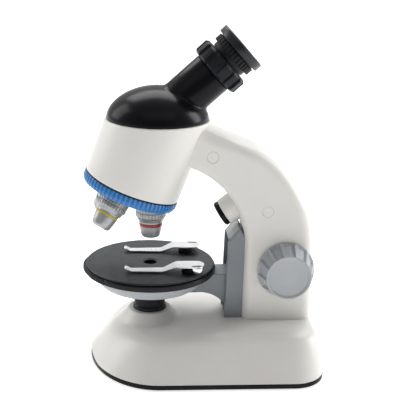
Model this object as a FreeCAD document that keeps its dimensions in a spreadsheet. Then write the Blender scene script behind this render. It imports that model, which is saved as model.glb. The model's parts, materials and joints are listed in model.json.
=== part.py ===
import FreeCAD, Part
import math
import os
import re
import Sketcher

# Toy biological microscope. Millimetres, +Z up. The symmetry plane is XZ: the stage and the head
# are at -X, the arm and its focus knobs at +X. The origin is at the middle of the footprint, on
# the surface that the rubber feet stand on. Local frames of the sub-parts have their origin on
# the optical axis.

Vector = FreeCAD.Vector
doc = FreeCAD.newDocument("Microscope")

DIMENSIONS = {
    # places and angles of the axes
    "axis_x": -30.85,          # vertical optical axis, from the middle of the footprint
    "apex_height": 138.2,      # where the nosepiece axis meets the optical axis
    "head_tilt": 20.0,         # nosepiece axis, degrees from vertical
    "mirror_height": 142.6,    # where the eyepiece axis meets the optical axis
    "eye_lift": 42.5,          # eyepiece axis, degrees above horizontal
    "aim_height": 62.0,        # where the upper lamp's axis meets the optical axis
    "pod_lift": 33.6,          # upper lamp's axis, degrees above horizontal
    "knob_x": 79.3,            # focus shaft, from the optical axis
    "knob_z": 60.3,
    "gap": 0.3,                # between pieces that move past each other
    "slip": 0.05,              # radial clearance of a running fit
    # base
    "plate_top": 3.6,
    "plate_low": 0.4,
    "base_half_width": 51.8,
    "base_rear": 101.6,
    "base_nose": 35.4,
    "base_corner": 19.0,
    "base_height": 28.0,
    "base_wall": 2.2,
    "pad_height": 30.7,
    "pad_radius": 12.5,
    "foot_radius": 5.0,
    "lamp_radius": 9.1,
    "lamp_top": 40.0,
    # arm and column
    "arm_half": 16.0,
    "arm_wall": 2.6,
    "column_front": 44.2,
    "column_back": 56.4,
    "column_half": 12.0,
    "column_foot": 27.4,
    "slot_half": 9.3,
    "slot_low": 28.2,
    "slot_high": 76.4,
    "column_face": 53.6,       # where the column meets the arm
    # head
    "drum_radius": 28.5,
    "drum_wall": 2.2,
    "drum_top": 147.1,
    "drum_drop": 32.3,         # apex to the drum's lower rim, along the head axis
    "dome_rise": 17.0,
    "tube_radius": 12.7,
    "tube_bore": 11.05,
    "tube_end": 46.7,
    "zoom_radius": 16.25,
    # nosepiece, measured down the head axis from the apex
    "ring_top": 32.8,
    "ring_low": 37.7,
    "turret_top": 35.6,
    "turret_low": 38.5,
    "pivot_radius": 2.0,
    "collar_radius": 9.0,
    "barrel_radius": 6.6,
    # stage
    "stage_top": 59.9,
    "stage_radius": 38.0,
    "rim_radius": 38.9,
    "rim_low": 55.1,
    "rim_wall": 1.3,
    "stage_hole": 3.9,
    "bracket_half": 8.8,
    # filter wheel under the stage top
    "wheel_x": -8.5,
    "wheel_radius": 31.4,
    # stage clips
    "clip_x": 22.0,
    "clip_y": 17.0,
    # focus drive
    "shaft_radius": 3.0,
    "pinion_pitch": 7.0,
    "pinion_teeth": 14,
    "pinion_module": 1.0,
    "rack_back": 60.4,
    "knob_rear": 17.0,
    "knob_front": 13.2,
    "knob_start": 16.6,
    "knob_end": 30.2,
}

sheet = doc.addObject("Spreadsheet::Sheet", "Sizes")
for row, (alias, number) in enumerate(DIMENSIONS.items(), start=1):
    sheet.set("A%d" % row, alias)
    sheet.set("B%d" % row, str(number))
    sheet.setAlias("B%d" % row, alias)
doc.recompute()

FUNCTIONS = ("sin", "cos", "tan", "sqrt")
nodes = {}


def bound(text):
    """A formula in the sheet's aliases, written for setExpression."""
    return re.sub(r"[a-z]\w*", lambda word: word.group(0) if word.group(0) in FUNCTIONS
                  else "Sizes." + word.group(0), str(text))


def value(text):
    """The same formula as a number."""
    return float(sheet.evalExpression(str(text)))


def point(x, y, z):
    return Vector(value(x), value(y), value(z))


# ---------------------------------------------------------------- frames

FRAMES = {
    "stand": ("0", "0"),
    "head": ("apex_height", "head_tilt"),
    "eye": ("mirror_height", "90 - eye_lift"),
    "pod": ("aim_height", "90 - pod_lift"),
}


def place(item, frame):
    """Put an object in a frame: origin on the optical axis, turned about Y."""
    height, angle = FRAMES[frame]
    item.Placement = FreeCAD.Placement(Vector(), FreeCAD.Rotation(Vector(0, 1, 0), 1))
    item.setExpression("Placement.Base.x", bound("axis_x"))
    item.setExpression("Placement.Base.z", bound(height))
    item.setExpression("Placement.Rotation.Angle", bound(angle))


def node(name, item, frame="stand"):
    """Name an object as a sub-part and put it in its frame."""
    item.Label = name
    if frame:
        place(item, frame)
    nodes[name] = item
    return item


def moved(shape, placement):
    """The shape after a rigid move that is worked into its surfaces."""
    return shape.transformed(placement.toMatrix(), True)


def head_frame():
    return FreeCAD.Placement(point("0", "0", "apex_height"),
                             FreeCAD.Rotation(Vector(0, 1, 0), value("head_tilt")))


def head_point(drop):
    """A point of the head axis, that far below the apex, seen from the stand frame."""
    tilt = math.radians(value("head_tilt"))
    return Vector(-drop * math.sin(tilt), 0, value("apex_height") - drop * math.cos(tilt))


# ---------------------------------------------------------------- makers

def sketch_on(body, role, outline):
    """A closed sketch of straight lines whose corners are bound to formulas."""
    drawing = body.newObject("Sketcher::SketchObject", body.Name + "Sketch")
    plane = [part for part in body.Origin.OriginFeatures if part.Role == role][0]
    drawing.AttachmentSupport = (plane, "")
    drawing.MapMode = "FlatFace"
    corners = [Vector(value(across), value(up), 0) for across, up in outline]
    count = len(corners)
    for index in range(count):
        drawing.addGeometry(Part.LineSegment(corners[index], corners[(index + 1) % count]))
    for index in range(count):
        drawing.addConstraint(Sketcher.Constraint("Coincident", index, 2, (index + 1) % count, 1))
    for index, formulas in enumerate(outline):
        for kind, formula, now in zip(("DistanceX", "DistanceY"), formulas,
                                      (corners[index].x, corners[index].y)):
            key = drawing.addConstraint(Sketcher.Constraint(kind, -1, 1, index, 1, now))
            drawing.setExpression("Constraints[%d]" % key, bound(formula))
    return drawing


def turned(name, outline, frame=None):
    """A PartDesign body turned about its Z axis from (radius, height) corners."""
    body = doc.addObject("PartDesign::Body", name)
    profile = sketch_on(body, "XZ_Plane", outline)
    turn = body.newObject("PartDesign::Revolution", name + "Turn")
    turn.Profile = profile
    turn.ReferenceAxis = (profile, ["V_Axis"])
    turn.Angle = 360
    if frame:
        node(name, body, frame)
    return body


def slab(name, outline, low, high, frame=None):
    """A PartDesign body padded along Z from an XY outline."""
    body = doc.addObject("PartDesign::Body", name)
    profile = sketch_on(body, "XY_Plane", outline)
    profile.setExpression("AttachmentOffset.Base.z", bound(low))
    pad = body.newObject("PartDesign::Pad", name + "Pad")
    pad.Profile = profile
    pad.setExpression("Length", bound("(%s) - (%s)" % (high, low)))
    if frame:
        node(name, body, frame)
    return body


def blade(name, outline, half, frame=None):
    """A PartDesign body padded both ways from the XZ plane."""
    body = doc.addObject("PartDesign::Body", name)
    profile = sketch_on(body, "XZ_Plane", outline)
    pad = body.newObject("PartDesign::Pad", name + "Pad")
    pad.Profile = profile
    pad.setExpression("Length", bound("2 * (%s)" % half))
    pad.Midplane = True
    if frame:
        node(name, body, frame)
    return body


def around(body, feature, count):
    """Repeat a feature about the body's Z axis."""
    pattern = body.newObject("PartDesign::PolarPattern", body.Name + "Pattern")
    pattern.Originals = [feature]
    axis = [part for part in body.Origin.OriginFeatures if part.Role == "Z_Axis"][0]
    pattern.Axis = (axis, [""])
    pattern.Angle = 360
    pattern.Occurrences = count
    body.Tip = pattern
    return pattern


def pocket(body, outline, low, high):
    """Cut an XY outline out of a body between two heights."""
    profile = sketch_on(body, "XY_Plane", outline)
    profile.setExpression("AttachmentOffset.Base.z", bound(high))
    cut = body.newObject("PartDesign::Pocket", body.Name + "Cut")
    cut.Profile = profile
    cut.setExpression("Length", bound("(%s) - (%s)" % (high, low)))
    return cut


def box(name, x_range, y_range, z_range):
    item = doc.addObject("Part::Box", name)
    for side, (low, high) in zip(("Length", "Width", "Height"), (x_range, y_range, z_range)):
        item.setExpression(side, bound("(%s) - (%s)" % (high, low)))
    for letter, limits in zip("xyz", (x_range, y_range, z_range)):
        item.setExpression("Placement.Base." + letter, bound(limits[0]))
    return item


AXES = {"z": (Vector(0, 0, 1), 0), "y": (Vector(1, 0, 0), -90), "x": (Vector(0, 1, 0), 90)}


def rod(name, radius, low, high, x="0", y="0", z="0", axis="z"):
    """A cylinder along one axis, between two places on it."""
    item = doc.addObject("Part::Cylinder", name)
    item.setExpression("Radius", bound(radius))
    item.setExpression("Height", bound("(%s) - (%s)" % (high, low)))
    item.Placement = FreeCAD.Placement(Vector(), FreeCAD.Rotation(*AXES[axis]))
    starts = {"x": x, "y": y, "z": z}
    starts[axis] = low
    for letter, formula in starts.items():
        item.setExpression("Placement.Base." + letter, bound(formula))
    return item


def cut(name, base, tools, frame=None):
    result = doc.addObject("Part::Cut", name)
    result.Base = base
    result.Tool = tools[0] if len(tools) == 1 else fuse(name + "Tools", tools)
    if frame:
        node(name, result, frame)
    return result


def fuse(name, items, frame=None):
    result = doc.addObject("Part::MultiFuse", name)
    result.Shapes = items
    if frame:
        node(name, result, frame)
    return result


def group(name, items, frame="stand"):
    """Identical or small solids that share one node."""
    result = doc.addObject("Part::Compound", name)
    result.Links = items
    return node(name, result, frame)


def feature(name, shape, frame=None):
    """A shape that neither sketches nor primitives describe well."""
    item = doc.addObject("Part::Feature", name)
    item.Shape = shape
    if frame:
        node(name, item, frame)
    return item


def prism(outline, low, high):
    """Extrude a flat XZ face along Y."""
    face = outline if outline.ShapeType == "Face" else Part.Face(outline)
    lifted = face.translated(Vector(0, low, 0))
    return lifted.extrude(Vector(0, high - low, 0))


def polygon(corners, y=0.0):
    """A closed XZ wire through the corners."""
    places = [Vector(x, y, z) for x, z in corners]
    return Part.makePolygon(places + places[:1])


# ---------------------------------------------------------------- base

def base_outline(height, half, nose, rear, corner, centre):
    """A level wire, half an ellipse in front and rounded corners behind."""
    bulge = nose + centre
    ellipse = Part.Ellipse(Vector(centre, half, height), Vector(centre - bulge, 0, height),
                           Vector(centre, 0, height))
    front = Part.Arc(Vector(centre, half, height), Vector(centre - bulge, 0, height),
                     Vector(centre, -half, height)).toShape()
    if abs(half - bulge) > 1e-6:
        start = ellipse.parameter(Vector(centre, half, height))
        end = ellipse.parameter(Vector(centre, -half, height))
        tip = ellipse.parameter(Vector(centre - bulge, 0, height))
        if not start < tip < end:
            start, end = end, start
        if end < start:
            end += 2 * math.pi
        front = ellipse.toShape(start, end)
    slant = corner * (1 - math.sqrt(0.5))
    near = [Vector(centre, -half, height), Vector(rear - corner, -half, height),
            Vector(rear - slant, -half + slant, height), Vector(rear, -half + corner, height)]
    far = [Vector(place.x, -place.y, place.z) for place in near]
    edges = [front,
             Part.LineSegment(near[0], near[1]).toShape(),
             Part.Arc(near[1], near[2], near[3]).toShape(),
             Part.LineSegment(near[3], far[3]).toShape(),
             Part.Arc(far[3], far[2], far[1]).toShape(),
             Part.LineSegment(far[1], far[0]).toShape()]
    return Part.Wire(Part.__sortEdges__(edges))


def base_form(inset, top_drop):
    """The base's sculpted outer form, or the hollow inside it."""
    half = value("base_half_width")
    nose = value("base_nose")
    rear = value("base_rear")
    corner = value("base_corner")
    low = value("plate_top")
    top = value("base_height") - top_drop
    # each section: share of the height, then how far the sides, the nose and the rear lean in
    sections = ((0.0, 0.2, 0.0, 0.2, 0.0), (0.45, 5.0, 6.5, 1.4, 1.0), (0.76, 9.4, 12.0, 2.8, 2.0),
                (0.92, 13.0, 17.0, 4.6, 4.0), (1.0, 18.5, 23.0, 8.0, 7.0))
    wires = [base_outline(low + share * (top - low), half - sides - inset, nose - front - inset,
                          rear - back - inset, corner - round_in - inset * 0.5, 5.5)
             for share, sides, front, back, round_in in sections]
    return Part.makeLoft(wires, True)


def make_base():
    pad_radius = value("pad_radius")
    pad_top = value("pad_height")
    wall = value("base_wall")
    axis = Vector(0, 0, 1)
    skirt = 13.5
    pad = Part.makeCone(pad_radius + skirt, pad_radius, skirt, Vector(0, 0, pad_top - skirt), axis)
    hump = Part.makeCone(pad_radius + skirt - wall, pad_radius - wall, skirt,
                         Vector(0, 0, pad_top - skirt - wall), axis)
    outer = base_form(0.0, 0.0).fuse(pad).removeSplitter()
    inner = base_form(wall, wall).fuse(hump)
    well = Part.makeCylinder(value("lamp_radius") - 0.95, 20, Vector(0, 0, 20), axis)
    posts = [Part.makeCylinder(3.4, 24, Vector(x, y, value("plate_top")), axis)
             for x, y in SCREW_PLACES]
    holes = [Part.makeCylinder(1.6, 12, Vector(x, y, value("plate_top")), axis)
             for x, y in SCREW_PLACES]
    bosses = [post.common(base_form(0.5, 0.5)) for post in posts]
    shell = outer.cut(inner).fuse(bosses).cut([well] + holes)
    window = Part.makeBox(8, 19.4, 10.4, Vector(94.5, -9.7, 9.0))
    feature("base_shell", shell.cut(window).removeSplitter(), "stand")


SCREW_PLACES = [(2, 40), (2, -40), (86, 38), (86, -38)]
BATTERY = {"front": 26.0, "rear": 80.0, "half": 24.5, "top": 20.0}


def make_plate():
    low = value("plate_low")
    top = value("plate_top")
    wires = [base_outline(height, value("base_half_width"), value("base_nose"), value("base_rear"),
                          value("base_corner"), 5.5) for height in (low, top)]
    plate = Part.makeLoft(wires, True, True)
    opening = Part.makeBox(BATTERY["rear"] - BATTERY["front"], 2 * BATTERY["half"], top + 1,
                           Vector(BATTERY["front"], -BATTERY["half"], -0.5))
    through = [Part.makeCylinder(1.7, top + 1, Vector(x, y, -0.5)) for x, y in SCREW_PLACES]
    sunk = [Part.makeCylinder(3.1, 1.6, Vector(x, y, low - 0.1)) for x, y in SCREW_PLACES]
    seats = [Part.makeCylinder(value("foot_radius"), 1.2, Vector(x, y, low - 0.1))
             for x, y in FOOT_PLACES]
    feature("base_plate", plate.cut([opening] + through + sunk + seats), "stand")


FOOT_PLACES = [(-14, 24), (-14, -24), (88, 27), (88, -27)]

make_base()
make_plate()

group("rubber_feet", [rod("Foot%d" % index, "foot_radius - 0.05", "0", "plate_low + 1.1", x, y)
                      for index, (x, y) in enumerate(FOOT_PLACES)])

screws = []
for index, (x, y) in enumerate(SCREW_PLACES):
    shank = rod("ScrewShank%d" % index, "1.5", "plate_low + 1", "plate_top + 9", x, y)
    screw_head = rod("ScrewHead%d" % index, "2.9", "plate_low + 0.2", "plate_low + 1.5", x, y)
    screws.append(fuse("Screw%d" % index, [shank, screw_head]))
door_screw = rod("DoorScrew", "1.5", "plate_low + 0.6", "8", "78")
group("base_screws", screws + [door_screw])

# battery box with three AA cells side by side, closed by a door in the plate
tray_outer = box("TrayOuter", ("26.3", "79.7"), ("-24.2", "24.2"), ("plate_top", "20.5"))
tray_inner = box("TrayInner", ("27.6", "74.6"), ("-22.9", "22.9"), ("plate_top - 1", "19.2"))
tray_bore = rod("TrayBore", "1.55", "plate_top - 1", "9", "78")
cut("battery_tray", tray_outer, [tray_inner, tray_bore], "stand")

cells = []
for index in range(3):
    lane = "%d" % (15 * (index - 1))
    can = rod("Can%d" % index, "7.2", "29.6", "71.6", y=lane, z="11.6", axis="x")
    cap = rod("Cap%d" % index, "2.6", "71.6", "73.4", y=lane, z="11.6", axis="x")
    cells.append(fuse("Cell%d" % index, [can, cap]))
group("battery_cells", cells)

contacts = []
for index in range(3):
    side = 15 * (index - 1)
    for end, (low, high) in enumerate((("27.6", "29.6"), ("73.4", "74.6"))):
        contacts.append(box("Contact%d%d" % (index, end), (low, high),
                            ("%d" % (side - 4), "%d" % (side + 4)), ("7.6", "15.6")))
group("battery_contacts", contacts)

door_panel = box("DoorPanel", ("26.2", "79.8"), ("-24.3", "24.3"), ("plate_low", "plate_top"))
door_hole = rod("DoorHole", "1.55", "0", "9", "78")
door_sink = rod("DoorSink", "3.0", "0", "plate_low + 0.6", "78")
cut("battery_door", door_panel, [door_hole, door_sink], "stand")

# lamp under the stage: a short barrel on a wider foot, with a lens on top
turned("lamp_housing", [
    ("lamp_radius - 2", "pad_height - 6"), ("lamp_radius - 2", "lamp_top - 2.4"),
    ("lamp_radius - 1.2", "lamp_top - 2.4"), ("lamp_radius - 1.2", "lamp_top"),
    ("lamp_radius - 0.4", "lamp_top"), ("lamp_radius", "lamp_top - 0.5"),
    ("lamp_radius", "pad_height + 2.6"), ("lamp_radius + 0.9", "pad_height + 1.8"),
    ("lamp_radius + 0.9", "pad_height"), ("lamp_radius - 1", "pad_height"),
    ("lamp_radius - 1", "pad_height - 6")], "stand")
turned("lamp_lens", [
    ("0", "lamp_top - 2.2"), ("lamp_radius - 1.3", "lamp_top - 2.2"),
    ("lamp_radius - 1.3", "lamp_top - 1.2"), ("lamp_radius - 3.3", "lamp_top - 0.5"),
    ("lamp_radius - 5.8", "lamp_top - 0.1"), ("0", "lamp_top")], "stand")
turned("lamp_board", [
    ("0", "pad_height - 3"), ("lamp_radius - 2.1", "pad_height - 3"),
    ("lamp_radius - 2.1", "pad_height - 1.4"), ("2.6", "pad_height - 1.4"),
    ("2.6", "pad_height + 2"), ("1.8", "pad_height + 3.4"), ("0", "pad_height + 4")], "stand")

# rocker switch in the rear wall
SWITCH = {"x": "99.3", "z": "14.2"}
frame_block = box("SwitchBlock", ("94.6", "101.3"), ("-9.6", "9.6"), ("9.1", "19.3"))
frame_room = box("SwitchRoom", ("95.8", "102"), ("-7.4", "7.4"), ("10.4", "18"))
frame_axle = rod("SwitchAxleHole", "0.9 + slip", "-9", "9", x=SWITCH["x"], z=SWITCH["z"], axis="y")
cut("switch_frame", frame_block, [frame_room, frame_axle], "stand")
rocker = blade("RockerBody", [("97.3", "11.6"), ("100.0", "10.9"), ("100.5", "14.2"),
                              ("101.1", "17.4"), ("97.3", "16.8")], "7")
rocker_axle = rod("RockerAxle", "0.9", "-8.6", "8.6", x=SWITCH["x"], z=SWITCH["z"], axis="y")
fuse("switch_rocker", [rocker, rocker_axle], "stand")


# ---------------------------------------------------------------- arm

def arm_outline():
    """Side view of the arm: a straight top, two round stretches and an upright back."""
    outer = [(14, 150.4), (60, 131.9), (74.6, 121.0), (84.7, 107.0), (91.7, 92.5), (94.9, 74.0),
             (96.4, 26.0)]
    inner = [(54.0, 26.0), (53.6, 76.0), (51.4, 90.0), (46.0, 102.6), (34.4, 114.4), (14, 122.8)]
    above = [Vector(x, 0, z) for x, z in outer]
    below = [Vector(x, 0, z) for x, z in inner]
    edges = [Part.LineSegment(above[0], above[1]).toShape(),
             Part.Arc(above[1], above[2], above[3]).toShape(),
             Part.Arc(above[3], above[4], above[5]).toShape(),
             Part.LineSegment(above[5], above[6]).toShape(),
             Part.LineSegment(above[6], below[0]).toShape(),
             Part.LineSegment(below[0], below[1]).toShape(),
             Part.Arc(below[1], below[2], below[3]).toShape(),
             Part.Arc(below[3], below[4], below[5]).toShape(),
             Part.LineSegment(below[5], above[0]).toShape()]
    return Part.Wire(edges)


def head_cylinder(radius, low, high):
    """A solid on the head axis between two drops below the apex."""
    start = head_point(low)
    along = head_point(high) - start
    return Part.makeCylinder(radius, along.Length, start, along)


def make_arm():
    half = value("arm_half")
    wall = value("arm_wall")
    outline = arm_outline()
    hollow = Part.Face(outline).makeOffset2D(-wall)
    hollow_low = Part.makeBox(200, 80, 60, Vector(-60, -40, -60 + 30.5))
    drum = head_cylinder(value("drum_radius"), -60, 45)
    base = base_form(0.0, 0.0)
    shaft_x = value("knob_x")
    shaft_z = value("knob_z")
    bore = Part.makeCylinder(value("shaft_radius") + value("slip"), 2 * half + 2,
                             Vector(shaft_x, -half - 1, shaft_z), Vector(0, 1, 0))
    throat = Part.makeBox(8, 14, 62, Vector(50.5, -7, 30))
    pod_seat = pod_cylinder(6.4, 50, 72)
    plugs = [Part.makeCylinder(3.5, 5, Vector(x, 0, z), Vector(0, 1, 0)) for x, z in PLUG_PLACES]
    for name, side in (("arm_shell_near", -1), ("arm_shell_far", 1)):
        block = prism(outline, min(0, side * half), max(0, side * half))
        outside = [edge for edge in block.Edges
                   if all(abs(vertex.Y - side * half) < 1e-4 for vertex in edge.Vertexes)
                   and edge.BoundBox.ZMax > 27 and edge.BoundBox.XMax > 15]
        block = block.makeFillet(5.0, outside)
        room = prism(hollow, min(0, side * (half - wall)), max(0, side * (half - wall)))
        room = room.cut(hollow_low)
        ribs = [Part.makeCylinder(5.6, half - wall + 0.5, Vector(x, 0, z), Vector(0, side, 0))
                for x, z in PLUG_PLACES]
        bearing = Part.makeCylinder(5.6, 6.0, Vector(shaft_x, side * (half - wall - 5.6), shaft_z),
                                    Vector(0, side, 0))
        shell = block.cut(room).fuse(ribs + [bearing])
        seats = [plug.translated(Vector(0, half - 1.2 if side > 0 else -half - 3.8, 0))
                 for plug in plugs]
        threads = [Part.makeCylinder(1.6, 2 * half + 2, Vector(x, -half - 1, z), Vector(0, 1, 0))
                   for x, z in PLUG_PLACES]
        shell = shell.cut([drum, base, bore, throat, pod_seat] + seats + threads)
        solids = sorted(shell.Solids, key=lambda solid: solid.Volume)
        feature(name, solids[-1].removeSplitter(), "stand")


def pod_cylinder(radius, low, high):
    """A solid on the upper lamp's axis, from the specimen outward."""
    lift = math.radians(value("pod_lift"))
    along = Vector(math.cos(lift), 0, math.sin(lift))
    start = Vector(0, 0, value("aim_height")) + along * low
    return Part.makeCylinder(radius, high - low, start, along)


PLUG_PLACES = [(34.3, 128.4), (67.2, 96.0)]
make_arm()

arm_screws = [rod("ArmScrew%d" % index, "1.55", "-arm_half + 4", "arm_half - 4", x, z=z, axis="y")
              for index, (x, z) in enumerate(PLUG_PLACES)]
group("arm_screws", arm_screws)
plugs = []
for index, (x, z) in enumerate(PLUG_PLACES):
    for side, limits in (("Near", ("-arm_half + 0.1", "-arm_half + 1.2")),
                         ("Far", ("arm_half - 1.2", "arm_half - 0.1"))):
        plugs.append(rod("Plug%s%d" % (side, index), "3.45", *limits, x=x, z=z, axis="y"))
group("arm_plugs", plugs)


def make_column():
    """Guide housing on the arm's front, with a slot for the stage bracket."""
    front = value("column_front")
    back = value("column_back")
    half = value("column_half")
    foot = value("column_foot")
    side_view = polygon([(front, foot), (front, 75.6), (front + 7.4, 84.4), (back, 77.0),
                         (back, foot)])
    block = prism(side_view, -half, half)
    upright = [edge for edge in block.Edges
               if abs(edge.BoundBox.XMax - front) < 1e-4 and edge.BoundBox.YLength < 1e-4]
    block = block.makeFillet(1.2, upright)
    slot = value("slot_half")
    slot_low = value("slot_low")
    channel = Part.makeBox(back - front + 2, 2 * slot, value("slot_high") - slot_low,
                           Vector(front - 1, -slot, slot_low))
    arm = prism(arm_outline(), -value("arm_half"), value("arm_half"))
    shell = block.cut([channel, arm])
    solids = sorted(shell.Solids, key=lambda solid: solid.Volume)
    feature("focus_column", solids[-1].cut(base_form(0.0, 0.0)).removeSplitter(), "stand")


make_column()

# upper lamp on the arm, aimed at the specimen
def make_pod():
    lift = math.radians(value("pod_lift"))
    along = Vector(math.cos(lift), 0, math.sin(lift))
    start = Vector(0, 0, value("aim_height"))
    body = Part.makeCone(7.9, 9.5, 18, start + along * 51.8, along)
    stem = pod_cylinder(6.3, 60, 70.5)
    room = pod_cylinder(5.4, 51, 71)
    arm = prism(arm_outline(), -value("arm_half"), value("arm_half"))
    outside = body.cut(arm)
    outside = sorted(outside.Solids, key=lambda solid: solid.Volume)[-1]
    pod = outside.fuse(stem).cut(room)
    feature("pod_housing", pod.removeSplitter(), "stand")


make_pod()


turned("pod_bezel", [
    ("5.6", "49.3"), ("7.0", "49.3"), ("7.5", "49.9"), ("7.5", "51.8"), ("5.3", "51.8"),
    ("5.3", "58"), ("4.6", "58"), ("4.6", "51"), ("5.6", "51")], "pod")
turned("pod_lens", [
    ("0", "49.6"), ("3.2", "49.9"), ("5.5", "50.6"), ("5.5", "50.95"), ("0", "50.95")], "pod")
turned("pod_board", [
    ("0", "54.5"), ("1.7", "55"), ("2.4", "56.2"), ("2.4", "58.2"), ("5.2", "58.2"),
    ("5.2", "59.6"), ("0", "59.6")], "pod")

# ---------------------------------------------------------------- head

drum_outer = turned("DrumOuter", [("0", "-drum_drop"), ("drum_radius", "-drum_drop"),
                                  ("drum_radius", "30"), ("0", "30")])
drum_inner = turned("DrumInner", [("0", "-drum_drop - 1"), ("drum_radius - drum_wall", "-drum_drop - 1"),
                                  ("drum_radius - drum_wall", "31"), ("0", "31")])
drum_lid = feature("DrumLid", moved(Part.makeBox(160, 120, 60, Vector(-80, -60, value("drum_top"))),
                                    head_frame().inverse()))
cut("head_drum", drum_outer, [drum_inner, drum_lid], "head")


def make_dome():
    """Black cap: half an ellipsoid over the drum's level rim, open for the eyepiece tube."""
    tilt = math.radians(value("head_tilt"))
    across = value("drum_radius")
    lengthwise = across / math.cos(tilt)
    rise = value("dome_rise")
    top = value("drum_top")
    centre = (top - value("apex_height")) * math.tan(tilt)
    wall = value("drum_wall")
    shells = []
    for inset in (0.0, wall):
        stretch = FreeCAD.Matrix()
        stretch.scale(lengthwise - 0.3 - inset, across - 0.3 - inset, rise - inset)
        ball = Part.makeSphere(1.0).transformGeometry(stretch)
        shells.append(ball.translated(Vector(centre, 0, top)))
    below = Part.makeBox(100, 100, 60, Vector(centre - 50, -50, top - 60))
    lift = math.radians(value("eye_lift"))
    along = Vector(math.cos(lift), 0, math.sin(lift))
    start = Vector(0, 0, value("mirror_height"))
    tube = Part.makeCylinder(value("tube_radius"), 60, start, along)
    collar = Part.makeCone(value("tube_radius") + 3.4, value("tube_radius"), 11,
                           start + along * 15.5, along)
    cap = shells[0].fuse(collar).cut([shells[1], below, tube])
    solids = sorted(cap.Solids, key=lambda solid: solid.Volume)
    feature("head_dome", solids[-1].removeSplitter(), "stand")


make_dome()

turned("eyepiece_tube", [
    ("tube_bore", "17.5"), ("tube_radius", "17.5"), ("tube_radius", "tube_end"), ("12.0", "tube_end"),
    ("12.0", "tube_end + 7"), ("tube_bore", "tube_end + 7")], "eye")


def make_mirror():
    """Front-surface mirror on the optical axis, and the bracket that carries it."""
    lift = math.radians(value("eye_lift"))
    facing = Vector(math.cos(lift), 0, math.sin(lift) - 1)
    facing.normalize()
    spin = FreeCAD.Rotation(Vector(0, 0, 1), facing)
    centre = Vector(0, 0, value("mirror_height"))
    glass = Part.makeBox(24, 18, 1.8, Vector(-12, -9, -1.8))
    backing = Part.makeBox(27, 20, 2.0, Vector(-13.5, -10, -3.8))
    glass, backing = [moved(item, FreeCAD.Placement(centre, spin)) for item in (glass, backing)]
    feature("mirror", glass, "stand")
    post = prism(polygon([(-14.5, 112.8), (-8.0, 110.4), (-8.0, 131.5), (-5.0, 138.5),
                          (-9.5, 138.5), (-14.5, 131.5)]), -6, 6)
    floor = head_cylinder(value("drum_radius"), 29.7, 45)
    screw_room = head_cylinder(3.8, 26.8, 31)
    bracket = backing.fuse(post).cut([glass, floor, screw_room])
    feature("mirror_bracket", bracket.removeSplitter(), "stand")


make_mirror()

# fixed plate that closes the drum and carries the nosepiece's shoulder screw
plate_disc = turned("PlateDisc", [("pivot_radius", "-drum_drop + 0.4"),
                                  ("drum_radius - drum_wall", "-drum_drop + 0.4"),
                                  ("drum_radius - drum_wall", "-29.7"), ("pivot_radius", "-29.7")])
light_hole = feature("LightHole", moved(
    Part.makeCylinder(5.4, 20, Vector(0, 0, value("apex_height") - 42)), head_frame().inverse()))
cut("nosepiece_plate", plate_disc, [light_hole], "head")
turned("nosepiece_pivot", [
    ("0", "-40.6"), ("4.2", "-40.6"), ("4.2", "-turret_low - gap"),
    ("pivot_radius - slip", "-turret_low - gap"), ("pivot_radius - slip", "-29.6"),
    ("3.6", "-29.6"), ("3.6", "-27"), ("0", "-27")], "head")

# leaf spring and ball that click into the turret's three notches
leaf = box("Leaf", ("-22", "-8"), ("-3", "3"), ("-drum_drop - 0.1", "-drum_drop + 0.4"))
ball = doc.addObject("Part::Sphere", "DetentBall")
ball.Radius = 1.3
ball.setExpression("Placement.Base.x", bound("-20"))
ball.setExpression("Placement.Base.z", bound("-drum_drop - 1.4"))
cut("detent_spring", leaf, [rod("LeafEye", "1.0", "-drum_drop - 1", "-drum_drop + 1", "-20")], "head")
group("detent_ball", [ball], "head")


# ---------------------------------------------------------------- nosepiece

def objective_frame(item, index):
    """An objective is modelled on the optical axis and turned about the head axis."""
    tilt = math.radians(value("head_tilt"))
    axis = Vector(math.sin(tilt), 0, math.cos(tilt))
    item.Placement = FreeCAD.Placement(point("axis_x", "0", "apex_height"),
                                       FreeCAD.Rotation(axis, 120 * index))


turned("nosepiece_ring", [
    ("25.6", "-ring_low + 0.3"), ("26.9", "-ring_low"), ("27.6", "-ring_low + 0.2"),
    ("drum_radius", "-ring_low + 2.6"), ("drum_radius", "-ring_top - 0.3"), ("28.1", "-ring_top"),
    ("25.6", "-ring_top")], "head")

turret_disc = turned("TurretDisc", [("pivot_radius", "-turret_low"), ("25.6", "-turret_low"),
                                    ("25.6", "-turret_top"), ("pivot_radius", "-turret_top")])
# threaded seats of the turret: radius, lowest drop along the objective's axis, height
SEATS = {"boss": ("collar_radius", 41.6, 3.0), "bore": ("5.5", 43.6, 12.0),
         "room": ("collar_radius + 0.05", 52.0, 10.4)}
NOTCH_CIRCLE = 20.0
bosses = []
bores = []
notches = []
for index in range(3):
    turn = 120 * index
    for use, (radius, low, height) in SEATS.items():
        item = rod("Turret%s%d" % (use, index), radius, "-%s" % low, "%s" % (height - low),
                   "%s * sin(head_tilt) * cos(%d)" % (low, turn),
                   "%s * sin(head_tilt) * sin(%d)" % (low, turn))
        item.setExpression("Placement.Base.z", bound("-%s * cos(head_tilt)" % low))
        spin = FreeCAD.Rotation(Vector(0, 0, 1), turn)
        lean = FreeCAD.Rotation(Vector(0, 1, 0), -value("head_tilt"))
        item.Placement = FreeCAD.Placement(item.Placement.Base, spin.multiply(lean))
        (bosses if use == "boss" else bores).append(item)
    notches.append(rod("Notch%d" % index, "1.7", "-turret_top - 0.7", "-turret_top + 1",
                       "-%s * cos(%d)" % (NOTCH_CIRCLE, turn), "-%s * sin(%d)" % (NOTCH_CIRCLE, turn)))
turret_all = fuse("TurretAll", [turret_disc] + bosses)
above_turret = rod("AboveTurret", "drum_radius", "-turret_top", "-drum_drop + 5")
cut("nosepiece_turret", turret_all, bores + notches + [above_turret], "head")

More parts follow.
